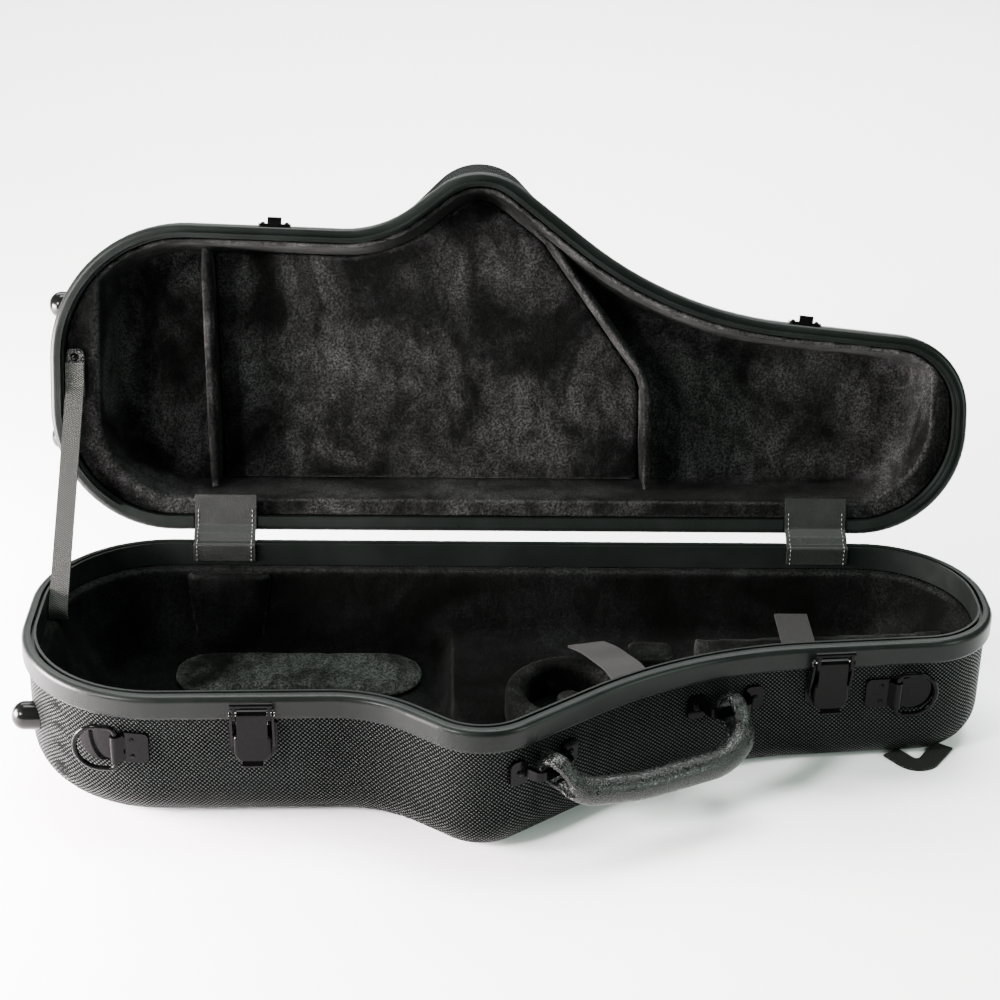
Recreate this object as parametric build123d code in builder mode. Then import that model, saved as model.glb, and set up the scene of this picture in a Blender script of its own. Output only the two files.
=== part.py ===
"""Hard-shell alto saxophone case, standing open.

Millimetres, +X to the neck end, -Y to the front with the handle, +Z up. The origin lies on
the flat bottom, half way along the case and half way across its wide bell end. The lid is
drawn shut and then laid open about its hinge pins.
"""

import os
from math import asin, atan2, cos, radians, sin, sqrt

from build123d import *

os.makedirs("parts", exist_ok=True)

# Case as a whole
case_length = 660.0
bell_depth = 220.0
base_depth = 100.0
lid_depth = 78.0
lid_open_angle = 108.0
parting_gap = 0.3
back_y = bell_depth / 2

# Plan outline of the rim: rounded ends, a waist, a bump over the keys and a long neck curve
front_left_radius = 97.0
back_left_radius = 88.0
waist_x = -120.0
waist_depth = 217.0
waist_radius = 79.0
bump_x = -24.0
bump_depth = 258.0
bump_radius = 46.0
neck_x = 225.0
neck_depth = 152.0
neck_radius = 282.0
front_right_radius = 56.0
front_right_depth = 145.5
back_right_radius = 78.0

# Moulded shells
shell_wall = 3.0
base_corner_radius = 31.0
lid_corner_radius = 30.0
bump_swell = 9.0
swell_waist_radius = 66.0
swell_bump_radius = 44.0
swell_start = 18.0
swell_end = 44.0
seat_gap = 0.15
overrun = 10.0

# Rim band with its edge channel, groove and tongue
rim_stand = 3.5
rim_height = 17.0
rim_inner_wall = 3.5
rim_cap = 6.0
rim_top_round = 4.0
rim_foot_round = 3.0
groove_depth = 3.5
groove_width = 2.2
groove_inset = 6.2
tongue_gap = 0.3
tongue_end_gap = 1.0
tongue_back_clear = 18.0

# Hinges on the back, behind the leather covers
hinge_places = {"left": -205.5, "right": 221.5}
hinge_width = 40.0
hinge_leaf_wall = 1.5
hinge_leaf_height = 15.0
hinge_leaf_start = 1.0
hinge_leaf_round = 4.0
hinge_knuckle_radius = 3.0
hinge_pin_radius = 1.5
hinge_pin_gap = 0.05
hinge_pin_end = 0.8
hinge_knuckle_count = 5
hinge_knuckle_gap = 0.3
hinge_stand = 3.5
hinge_leaf_gap = 0.1
hinge_rivet_radius = 2.2
hinge_rivet_height = 0.9
hinge_rivet_pitch = 26.0

# Leather covers over the hinges, inside
cover_width = 44.0
cover_wall = 1.5
cover_gap = 0.3
cover_lid_reach = 26.0
cover_lid_turn = 3.0
cover_loop_depth = 1.5
cover_loop_rise = 3.2
cover_base_turn = 6.0
cover_base_drop = 13.0
cover_bends = (0.6, 3.0, 4.0, 4.0)
notch_depth = 1.2
notch_side_gap = 1.0

# Draw latches
latch_places = {"left": -170.0, "right": 210.0}
latch_plate_width = 31.0
latch_plate_top = 18.4
latch_plate_bottom = 47.0
latch_plate_wall = 1.8
latch_plate_seat = 0.1
latch_plate_round = 11.0
latch_plate_corner = 3.0
latch_rivet_spots = ((-7.0, -28.0), (7.0, -28.0), (0.0, -41.0))
latch_pin_stand = 8.5
latch_pin_drop = 9.0
latch_pin_radius = 1.5
latch_pin_gap = 0.06
latch_knuckle_radius = 3.2
latch_ear_wall = 1.5
latch_ear_radius = 3.4
latch_ear_root = 1.7
latch_ear_root_radius = 2.0
latch_ear_high = 23.0
latch_ear_low = 34.0
latch_side_gap = 0.4
lever_neck_width = 19.6
lever_head_width = 24.6
lever_head_top = 23.5
lever_head_bottom = 45.0
lever_head_round = 9.0
lever_head_corner = 4.0
lever_edge_round = 2.5
lever_wall = 1.6
lever_face_stand = 11.2
lever_rest_gap = 0.3
lever_lip = 3.0
lever_lip_width = 13.0
lever_lip_radius = 1.0
hook_pin_stand = 6.2
hook_pin_drop = 17.0
hook_pin_radius = 1.2
hook_cheek_radius = 2.3
hook_arm_wall = 2.0
hook_elbow_stand = 12.9
hook_elbow_drop = 9.5
hook_elbow_radius = 1.4
hook_bar_stand = 12.4
hook_bar_drop = 0.1
hook_bar_radius = 1.7
hook_bar_end = 1.2

# Keepers on the lid
keeper_width = 23.0
keeper_low = 1.6
keeper_high = 13.0
keeper_wall = 1.6
keeper_seat = 0.1
keeper_corner = 2.0
keeper_tab_width = 10.0
keeper_tab_reach = 9.9
keeper_tab_wall = 1.6
keeper_lip_wall = 1.0
keeper_lip_height = 3.0
keeper_rivet_pitch = 17.0

# Small domed rivets of the latches, keepers and strap anchors
rivet_radius = 1.7
rivet_height = 1.1
rivet_shank_radius = 1.0
rivet_shank_gap = 0.05
rivet_bite = 2.4

# Handle brackets and grip
bracket_places = {"left": 15.0, "right": 139.0}
bracket_drop = 35.0
bracket_seat = 0.1
bracket_foot_pitch = 42.0
bracket_foot_width = 13.0
bracket_foot_height = 17.0
bracket_foot_wall = 2.6
bracket_foot_round = 4.0
bow_stand = 14.0
bow_width = 6.5
bow_wall = 3.4
bow_root = 1.8
bow_bend_radius = 6.0
screw_head_radius = 2.6
screw_head_height = 1.6
grip_droop = 40.0
grip_radius = 9.4
grip_end_reach = 12.0
grip_left_shoulder = (13.0, 19.0)
grip_crown = (52.0, 27.0)
grip_right_rise = (24.0, 30.0)
grip_right_shoulder = (3.0, 20.0)
grip_bends = (22.0, 110.0, 40.0, 14.0)
eye_radius = 8.6
eye_wall = 4.0
eye_width = 12.0
eye_round = 3.0
eye_length = 16.0
eye_tip_radius = 3.5
eye_leans = {"left": 28.0, "right": -3.0}

# Strap anchors with their rings
anchor_places = {"left": -247.0, "right": 247.0}
anchor_drop = 38.5
anchor_width = 21.0
anchor_height = 22.0
anchor_wall = 2.0
anchor_seat = 0.1
anchor_round = 4.0
anchor_disc_radius = 12.5
anchor_sleeve_height = 19.0
anchor_rivet_pitch = 12.0
anchor_sleeve_radius = 3.2
ring_wire_radius = 1.7
ring_gap = 0.07
ring_height = 31.0
ring_reach = 27.0
ring_corner = 4.6
ring_stand = 4.6

# Domed feet on the bell end
foot_places = (-159.0, -63.0)
foot_radius = 9.7
foot_drop = 51.0
foot_rise = 36.0
foot_reach = 5.0
foot_dome = 9.0
foot_stud_radius = 3.0
foot_stud_gap = 0.1
foot_stud_bite = 1.6

# Plush foam set of the base, with places measured from the hinge side and down from the rim
liner_gap = 0.3
liner_wall = 9.0
liner_batter = 12.0
bell_floor_drop = 84.0
channel_floor_drop = 64.0
channel_left = -42.0
channel_step = 8.0
bell_end_inset = 17.0
bell_end_batter = 26.0
neck_end_inset = 15.0
neck_end_left = 258.0
basin_round = 6.0
floor_pad_wall = 6.0
floor_pad_left = -240.0
floor_pad_right = -62.0
floor_pad_back = 27.0
floor_pad_front = 84.0
floor_pad_round = 27.0
floor_pad_crown = 3.0
ledge_left = 124.0
ledge_right = 300.0
ledge_left_depth = 96.0
ledge_right_depth = 82.0
ledge_drop = 25.0
ledge_round = 5.0
cradle_x = 38.0
cradle_depth = 138.0
cradle_radius = 30.0
cradle_wall = 15.0
cradle_drop = 40.0
cradle_mouth = 34.0
cradle_round = 5.0
plug_radius = 10.0
plug_drop = 46.0
plug_round = 4.0
block_left = 78.0
block_right = 110.0
block_back = 93.0
block_front = 119.0
block_drop = 29.0
block_round = 6.0
wall_pad_x = -202.0
wall_pad_width = 60.0
wall_pad_reach = 28.0
wall_pad_drop = 22.0
wall_pad_round = 8.0

# Plush foam set of the lid, with places measured from the hinge side and up from the parting
border_rise = 6.0
border_inset = 14.0
border_batter = 7.0
lid_hollow_left = 35.0
lid_hollow_right = 26.0
lid_hollow_back = 23.0
lid_hollow_round = 60.0
lid_hollow_batter = 8.0
lid_floor_rise = 60.0
tray_wall = 6.0
ridge_wall = 6.5
ridge_rise = 26.0
ridge_round = 3.0
ridge_overrun = 40.0
bell_ridge_x = -215.0
bell_ridge_lean = 4.0
neck_ridge_x = 97.0
neck_ridge_turn_depth = 105.0
neck_ridge_front_x = 9.0
neck_ridge_front_depth = 228.0
neck_ridge_bend = 40.0
lid_pad_wall = 6.0
lid_pad_crown = 3.0

# Webbing straps
neck_strap_width = 26.0
neck_strap_back = (54.0, 141.0, 37.5)
neck_strap_mid = (66.0, 164.0, 26.0)
neck_strap_front = (75.2, 182.4, 10.0)
body_strap_x = 196.0
body_strap_width = 23.0
body_strap_back = 66.0
body_strap_rise = 12.0
body_strap_lift = 9.0
strap_wall = 1.6
strap_bend = 5.0
stay_x = -312.5
stay_width = 13.0
stay_wall = 1.5
stay_lid_depth = 120.0
stay_lid_turn = 102.0
stay_base_depth = 88.0
stay_base_rise = 6.0
stay_bend = 8.0
tab_length = 38.0
tab_width = 14.0
tab_depth = 111.0
tab_wall = 2.0
tab_rivet_radius = 3.0
tab_rivet_height = 1.2
tab_rivet_setback = 6.0
carry_width = 14.0
carry_wall = 1.6
carry_lift = 0.2
carry_left = (269.0, 122.0)
carry_nose = (280.0, 137.0)
carry_right = (296.5, 113.5)
carry_bend = 3.0

lid_hinge = Axis((0, back_y + hinge_stand, base_depth), (1, 0, 0))
shell_inset = rim_stand
shell_inner_inset = rim_stand + shell_wall
rim_inner_inset = shell_inner_inset + rim_inner_wall


def outline_posts(inset, swollen=False):
    """Give the posts that the plan outline runs round: centre and signed radius of each."""
    left_x, right_x = -case_length / 2, case_length / 2
    reach = bump_depth + bump_swell if swollen else bump_depth
    waist = swell_waist_radius if swollen else waist_radius
    bump = swell_bump_radius if swollen else bump_radius
    posts = [
        (left_x + front_left_radius, bell_depth - front_left_radius, front_left_radius),
        (waist_x, waist_depth + waist, -waist),
        (bump_x, reach - bump, bump),
        (neck_x, neck_depth + neck_radius, -neck_radius),
        (right_x - front_right_radius, front_right_depth - front_right_radius, front_right_radius),
        (right_x - back_right_radius, back_right_radius, back_right_radius),
        (left_x + back_left_radius, back_left_radius, back_left_radius),
    ]
    return [(Vector(x, back_y - depth), radius - inset) for x, depth, radius in posts]


def outline_spans(inset, swollen=False):
    """Give each post with the outward normals where the outline meets and leaves it."""
    posts = outline_posts(inset, swollen)
    normals = []
    for (centre, radius), (next_centre, next_radius) in zip(posts, posts[1:] + posts[:1]):
        step = next_centre - centre
        heading = atan2(step.Y, step.X) + asin((radius - next_radius) / step.length)
        normals.append(Vector(sin(heading), -cos(heading)))
    return [
        (centre, radius, normals[index - 1], normals[index])
        for index, (centre, radius) in enumerate(posts)
    ]


def outline(inset, swollen=False):
    """Draw the plan outline, drawn in by inset, as arcs joined by tangent lines."""
    spans = outline_spans(inset, swollen)
    with BuildSketch() as plan:
        with BuildLine():
            for index, (centre, radius, first, last) in enumerate(spans):
                middle = (first + last).normalized()
                points = [centre + normal * radius for normal in (first, middle, last)]
                ThreePointArc(*points)
                next_centre, next_radius, next_first, _ = spans[(index + 1) % len(spans)]
                Line(points[-1], next_centre + next_first * next_radius)
        make_face()
    return plan.sketch


def front_spot(x, inset):
    """Find the point and outward normal of the front outline at x."""
    spans = outline_spans(inset)
    for index, (centre, radius, first, last) in enumerate(spans):
        start = centre + first * radius
        end = centre + last * radius
        if first.Y < 0 and start.X <= x <= end.X:
            across = (x - centre.X) / radius
            normal = Vector(across, -sqrt(1 - across * across))
            return centre + normal * radius, normal
        next_centre, next_radius, next_first, _ = spans[(index + 1) % len(spans)]
        far = next_centre + next_first * next_radius
        if last.Y < 0 and end.X <= x <= far.X:
            return end + (far - end) * ((x - end.X) / (far.X - end.X)), last
    raise ValueError("x lies off the front of the case")


def wall_plane(x, z, inset=rim_stand):
    """Give the plane on the front wall at x: X along the wall, Y up, Z outward."""
    point, normal = front_spot(x, inset)
    along = Vector(-normal.Y, normal.X)
    return Plane(origin=(point.X, point.Y, z), x_dir=along, z_dir=normal)


def side_plane(wall, along=0):
    """Turn a wall plane to its side view: X outward, Y up, set along the wall."""
    return Plane(origin=wall.origin + wall.x_dir * along, x_dir=wall.z_dir, z_dir=-wall.x_dir)


def hull(*discs):
    """Draw the outline stretched round discs, each given as x, y and radius."""
    with BuildSketch() as form:
        with BuildLine():
            for x, y, radius in discs:
                CenterArc((x, y), radius, 0, 360)
        make_hull()
    return form.sketch


def tub(inset, low_z, high_z, corner_radius):
    """Make a solid of the plan outline, rounded along its lower edge."""
    with BuildPart() as form:
        with BuildSketch(Plane.XY.offset(low_z)):
            add(outline(inset))
        extrude(amount=high_z - low_z)
        fillet(form.edges().group_by(Axis.Z)[0], radius=corner_radius)
    return form.part


def dome(inset, low_z, high_z, corner_radius):
    """Make a solid of the lid's form, swelling at the bump and rounded along its top edge."""
    with BuildPart() as form:
        with BuildSketch(Plane.XY.offset(low_z)):
            add(outline(inset))
        extrude(amount=base_depth + swell_start - low_z)
        with BuildSketch(Plane.XY.offset(base_depth + swell_start)):
            add(outline(inset))
        with BuildSketch(Plane.XY.offset(base_depth + swell_end)):
            add(outline(inset, swollen=True))
        loft(ruled=True)
        with BuildSketch(Plane.XY.offset(base_depth + swell_end)):
            add(outline(inset, swollen=True))
        extrude(amount=high_z - base_depth - swell_end)
        fillet(form.edges().group_by(Axis.Z)[-1], radius=corner_radius)
    return form.part


def ring_wall(outer_inset, inner_inset, low_z, high_z, mode=Mode.ADD):
    """Add or cut a wall that follows the plan outline between two insets."""
    with BuildSketch(Plane.XY.offset(low_z)) as band:
        add(outline(outer_inset))
        add(outline(inner_inset), mode=Mode.SUBTRACT)
    extrude(band.sketch, amount=high_z - low_z, mode=mode)


def keep(block, node, opened=False):
    """Label a finished piece and write it, laid open with the lid if it rides on it."""
    if opened:
        piece = block.part.rotate(lid_hinge, -lid_open_angle)
    else:
        piece = block.part
    piece.label = node
    export_step(piece, f"parts/{node}.step")
    return piece


def spots_on(wall, stand, places):
    """Give planes on a wall plane, one at each (along, up) place, standing off it."""
    return [
        Plane(origin=wall.from_local_coords(Vector(along, up, stand)), x_dir=wall.x_dir, z_dir=wall.z_dir)
        for along, up in places
    ]


def drill(spots, radius, depth):
    """Cut a round hole down from each spot."""
    with BuildSketch(*spots) as bores:
        Circle(radius)
    extrude(bores.sketch, amount=-depth, mode=Mode.SUBTRACT)


def stud(head_radius, head_height, shank_radius, shank_length):
    """Make a domed rivet whose head sits on z = 0."""
    crown_radius = (head_radius**2 + head_height**2) / (2 * head_height)
    half_angle = asin(head_radius / crown_radius) / 2
    with BuildPart() as form:
        with BuildSketch(Plane.XZ):
            with BuildLine():
                Polyline((0, head_height), (0, -shank_length), (shank_radius, -shank_length),
                         (shank_radius, 0), (head_radius, 0))
                ThreePointArc(
                    (head_radius, 0),
                    (crown_radius * sin(half_angle),
                     head_height - crown_radius * (1 - cos(half_angle))),
                    (0, head_height),
                )
            make_face()
        revolve(axis=Axis.Z)
    return form.part


def strip(plane, points, bends, wall):
    """Draw a bent strip of even thickness, laid to the left of its path."""
    with BuildSketch(plane) as form:
        with BuildLine():
            FilletPolyline(*points, radius=bends)
            offset(amount=wall, side=Side.LEFT)
        make_face()
    return form.sketch


# Wall planes that the hardware sits on, with Y measured from the parting plane
latch_walls = {side: wall_plane(x, base_depth) for side, x in latch_places.items()}
bracket_walls = {
    side: wall_plane(x, base_depth - bracket_drop) for side, x in bracket_places.items()
}
anchor_walls = {side: wall_plane(x, base_depth - anchor_drop) for side, x in anchor_places.items()}
hinge_walls = {
    side: Plane(origin=(x, back_y, base_depth), x_dir=(-1, 0, 0), z_dir=(0, 1, 0))
    for side, x in hinge_places.items()
}

# Rivet and screw spots, and how deep their shanks reach
latch_plate_face = latch_plate_seat + latch_plate_wall
latch_rivet_seats = [
    spot for wall in latch_walls.values() for spot in spots_on(wall, latch_plate_face, latch_rivet_spots)
]
latch_rivet_reach = latch_plate_face + rivet_bite
keeper_face = rim_stand + keeper_seat + keeper_wall
keeper_rivet_up = parting_gap + (keeper_low + keeper_high) / 2
keeper_rivet_seats = [
    spot
    for wall in latch_walls.values()
    for spot in spots_on(wall, keeper_face, [
        (-keeper_rivet_pitch / 2, keeper_rivet_up), (keeper_rivet_pitch / 2, keeper_rivet_up),
    ])
]
keeper_rivet_reach = keeper_seat + keeper_wall + rivet_bite
bracket_foot_face = bracket_seat + bracket_foot_wall
bracket_foot_walls = {
    side: [
        wall_plane(wall.origin.X + wall.x_dir.X * along, base_depth - bracket_drop)
        for along in (-bracket_foot_pitch / 2, bracket_foot_pitch / 2)
    ]
    for side, wall in bracket_walls.items()
}
screw_seats = [
    foot.offset(bracket_foot_face) for feet in bracket_foot_walls.values() for foot in feet
]
screw_reach = bracket_foot_face + rivet_bite
anchor_face = anchor_seat + anchor_wall
anchor_rivet_seats = [
    spot
    for wall in anchor_walls.values()
    for spot in spots_on(wall, anchor_face, [
        (0, -anchor_rivet_pitch / 2), (0, anchor_rivet_pitch / 2),
    ])
]
anchor_rivet_reach = anchor_face + rivet_bite
hinge_leaf_face = hinge_leaf_gap + hinge_leaf_wall
hinge_leaf_mid = (hinge_leaf_height + hinge_leaf_start) / 2
hinge_rivet_reach = hinge_leaf_face + rivet_bite


def hinge_rivet_seats(rise):
    """Give the rivet spots of both leaves on one side of the parting: -1 below, 1 above."""
    return [
        spot
        for wall in hinge_walls.values()
        for spot in spots_on(wall, hinge_leaf_face, [
            (-hinge_rivet_pitch / 2, rise * hinge_leaf_mid), (hinge_rivet_pitch / 2, rise * hinge_leaf_mid),
        ])
    ]


def rivets(node, seats, reach, head_radius=rivet_radius, head_height=rivet_height, opened=False):
    """Make one node of equal rivets, one on each seat."""
    with BuildPart() as group:
        with Locations(*seats):
            add(stud(head_radius, head_height, rivet_shank_radius, reach))
    return keep(group, node, opened)


def foot_plane(place, height):
    """Give the plane on the bell end's wall at a place back from the front: Z points left."""
    centre, radius = min(
        (outline_posts(shell_inset)[0], outline_posts(shell_inset)[-1]),
        key=lambda post: abs(post[0].Y - (back_y + place)),
    )
    across = back_y + place - centre.Y
    reach = sqrt(radius * radius - across * across)
    return Plane(origin=(centre.X - reach, back_y + place, height), x_dir=(0, 1, 0), z_dir=(-1, 0, 0))


base_foot_planes = [foot_plane(place, base_depth - foot_drop) for place in foot_places]
lid_foot_planes = [foot_plane(place, base_depth + foot_rise) for place in foot_places]
base_foot_holes = [spot.offset(foot_radius) for spot in base_foot_planes]
lid_foot_holes = [spot.offset(foot_radius) for spot in lid_foot_planes]


def notch_rim(low_z, high_z):
    """Cut the shallow notches that the leather covers lie in."""
    for x in hinge_places.values():
        with BuildSketch(Plane.XY.offset(low_z)) as gap:
            with Locations((x, back_y)):
                Rectangle(cover_width + 2 * notch_side_gap, 2 * (rim_inner_inset + overrun))
        extrude(gap.sketch, amount=high_z - low_z, mode=Mode.SUBTRACT)


def rim_band(low_z, high_z, low_round, high_round):
    """Make the plain band of a rim with its outer edges rounded."""
    with BuildPart() as form:
        with BuildSketch(Plane.XY.offset(low_z)):
            add(outline(0))
        extrude(amount=high_z - low_z)
        fillet(form.edges().group_by(Axis.Z)[0], radius=low_round)
        fillet(form.edges().group_by(Axis.Z)[-1], radius=high_round)
        with BuildSketch(Plane.XY.offset(low_z)):
            add(outline(rim_inner_inset))
        extrude(amount=high_z - low_z, mode=Mode.SUBTRACT)
    return form.part


# Base: shell and rim
base_seat = base_depth - rim_cap - seat_gap
rim_low = base_depth - rim_height

with BuildPart() as base_shell:
    add(tub(shell_inset, 0, base_seat, base_corner_radius))
    add(
        tub(shell_inner_inset, shell_wall, base_depth, base_corner_radius - shell_wall),
        mode=Mode.SUBTRACT,
    )
    drill(latch_rivet_seats, rivet_shank_radius + rivet_shank_gap, latch_rivet_reach)
    drill(screw_seats, rivet_shank_radius + rivet_shank_gap, screw_reach)
    drill(anchor_rivet_seats, rivet_shank_radius + rivet_shank_gap, anchor_rivet_reach)
    drill(base_foot_holes, foot_stud_radius + foot_stud_gap, foot_radius + foot_stud_bite)
keep(base_shell, "base_shell")

with BuildPart() as base_rim:
    add(rim_band(rim_low, base_depth, rim_foot_round, rim_top_round))
    ring_wall(
        shell_inset - seat_gap, shell_inner_inset + seat_gap, rim_low, base_depth - rim_cap, Mode.SUBTRACT
    )
    ring_wall(
        groove_inset, groove_inset + groove_width, base_depth - groove_depth, base_depth, Mode.SUBTRACT
    )
    notch_rim(base_depth - notch_depth, base_depth)
    drill(hinge_rivet_seats(-1), rivet_shank_radius + rivet_shank_gap, hinge_rivet_reach)
keep(base_rim, "base_rim")

# Lid: shell and rim
lid_low = base_depth + parting_gap
lid_seat = lid_low + rim_cap + seat_gap
lid_top = base_depth + lid_depth

with BuildPart() as lid_shell:
    add(dome(shell_inset, lid_seat, lid_top, lid_corner_radius))
    add(
        dome(shell_inner_inset, lid_seat, lid_top - shell_wall, lid_corner_radius - shell_wall),
        mode=Mode.SUBTRACT,
    )
    drill(lid_foot_holes, foot_stud_radius + foot_stud_gap, foot_radius + foot_stud_bite)
keep(lid_shell, "lid_shell", opened=True)

with BuildPart() as lid_rim:
    add(rim_band(lid_low, lid_low + rim_height, rim_top_round, rim_foot_round))
    ring_wall(
        shell_inset - seat_gap, shell_inner_inset + seat_gap,
        lid_low + rim_cap, lid_low + rim_height, Mode.SUBTRACT,
    )
    ring_wall(
        groove_inset + tongue_gap, groove_inset + groove_width - tongue_gap,
        base_depth - groove_depth + tongue_end_gap, lid_low + rim_top_round,
    )
    with BuildSketch(Plane.XY.offset(base_depth - groove_depth)):
        with Locations((0, back_y)):
            Rectangle(case_length, 2 * tongue_back_clear)
    extrude(amount=groove_depth + parting_gap, mode=Mode.SUBTRACT)
    notch_rim(lid_low, lid_low + notch_depth)
    drill(keeper_rivet_seats, rivet_shank_radius + rivet_shank_gap, keeper_rivet_reach)
    drill(hinge_rivet_seats(1), rivet_shank_radius + rivet_shank_gap, hinge_rivet_reach)
keep(lid_rim, "lid_rim", opened=True)


# Hinges
def hinge_leaf(wall, rise, first):
    """Make a hinge leaf: rise is -1 below the parting and 1 above, first its first knuckle."""
    knuckle_length = (hinge_width - (hinge_knuckle_count - 1) * hinge_knuckle_gap) / hinge_knuckle_count
    pitch = knuckle_length + hinge_knuckle_gap
    starts = [hinge_width / 2 - index * pitch for index in range(hinge_knuckle_count)]
    with BuildPart() as form:
        with BuildSketch(wall.offset(hinge_leaf_gap)):
            with Locations((0, rise * hinge_leaf_mid)):
                Rectangle(hinge_width, hinge_leaf_height - hinge_leaf_start)
            fillet(vertices().group_by(Axis.Y)[0 if rise < 0 else -1], radius=hinge_leaf_round)
        extrude(amount=hinge_leaf_wall)
        for index, start in enumerate(starts):
            mine = index % 2 == first
            reach = 0 if mine else hinge_knuckle_gap
            with BuildSketch(side_plane(wall, start + reach)):
                with Locations((hinge_stand, 0)):
                    Circle(hinge_knuckle_radius + reach)
            extrude(amount=knuckle_length + 2 * reach, mode=Mode.ADD if mine else Mode.SUBTRACT)
        with BuildSketch(side_plane(wall)):
            with Locations((hinge_stand, 0)):
                Circle(hinge_pin_radius + hinge_pin_gap)
        extrude(amount=hinge_width, both=True, mode=Mode.SUBTRACT)
        drill(hinge_rivet_seats(rise), rivet_shank_radius + rivet_shank_gap, hinge_rivet_reach)
    return form


for side, wall in hinge_walls.items():
    keep(hinge_leaf(wall, -1, 0), f"hinge_{side}_base_leaf")
    keep(hinge_leaf(wall, 1, 1), f"hinge_{side}_lid_leaf", opened=True)
    with BuildPart() as hinge_pin:
        with BuildSketch(side_plane(wall)):
            with Locations((hinge_stand, 0)):
                Circle(hinge_pin_radius)
        extrude(amount=hinge_width / 2 + hinge_pin_end, both=True)
        fillet(hinge_pin.edges(), radius=hinge_pin_end)
    keep(hinge_pin, f"hinge_{side}_pin")

rivets("base_hinge_rivets", hinge_rivet_seats(-1), hinge_rivet_reach, hinge_rivet_radius, hinge_rivet_height)
rivets("lid_hinge_rivets", hinge_rivet_seats(1), hinge_rivet_reach, hinge_rivet_radius,
       hinge_rivet_height, opened=True)


# Draw latches on the base and their keepers on the lid
lever_back = latch_plate_face + lever_rest_gap
hook_arm_inner = lever_neck_width / 2 + latch_side_gap
hook_arm_outer = hook_arm_inner + hook_arm_wall
latch_ear_inner = hook_arm_outer + latch_side_gap
latch_ear_outer = latch_ear_inner + latch_ear_wall
latch_pin_bore = latch_pin_radius + latch_pin_gap
hook_pin_bore = hook_pin_radius + latch_pin_gap
pin_spot = (latch_pin_stand, -latch_pin_drop)
hook_spot = (hook_pin_stand, -hook_pin_drop)
elbow_spot = (hook_elbow_stand, -hook_elbow_drop)
bar_spot = (hook_bar_stand, -hook_bar_drop)


def bore(wall, spot, radius, half_length, mode=Mode.SUBTRACT):
    """Cut or add a round bar along the wall at a (outward, up) spot."""
    with BuildSketch(side_plane(wall)) as round_bar:
        with Locations(spot):
            Circle(radius)
    extrude(round_bar.sketch, amount=half_length, both=True, mode=mode)


def head_outline(inset):
    """Draw the lever head's outline, drawn in by inset."""
    width = lever_head_width - 2 * inset
    height = lever_head_bottom - lever_head_top - 2 * inset
    with BuildSketch() as form:
        with Locations((0, -(lever_head_top + lever_head_bottom) / 2)):
            Rectangle(width, height)
        fillet(form.vertices().group_by(Axis.Y)[0], radius=lever_head_round - inset)
        fillet(form.vertices().group_by(Axis.Y)[-1], radius=lever_head_corner - inset)
    return form.sketch


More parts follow.
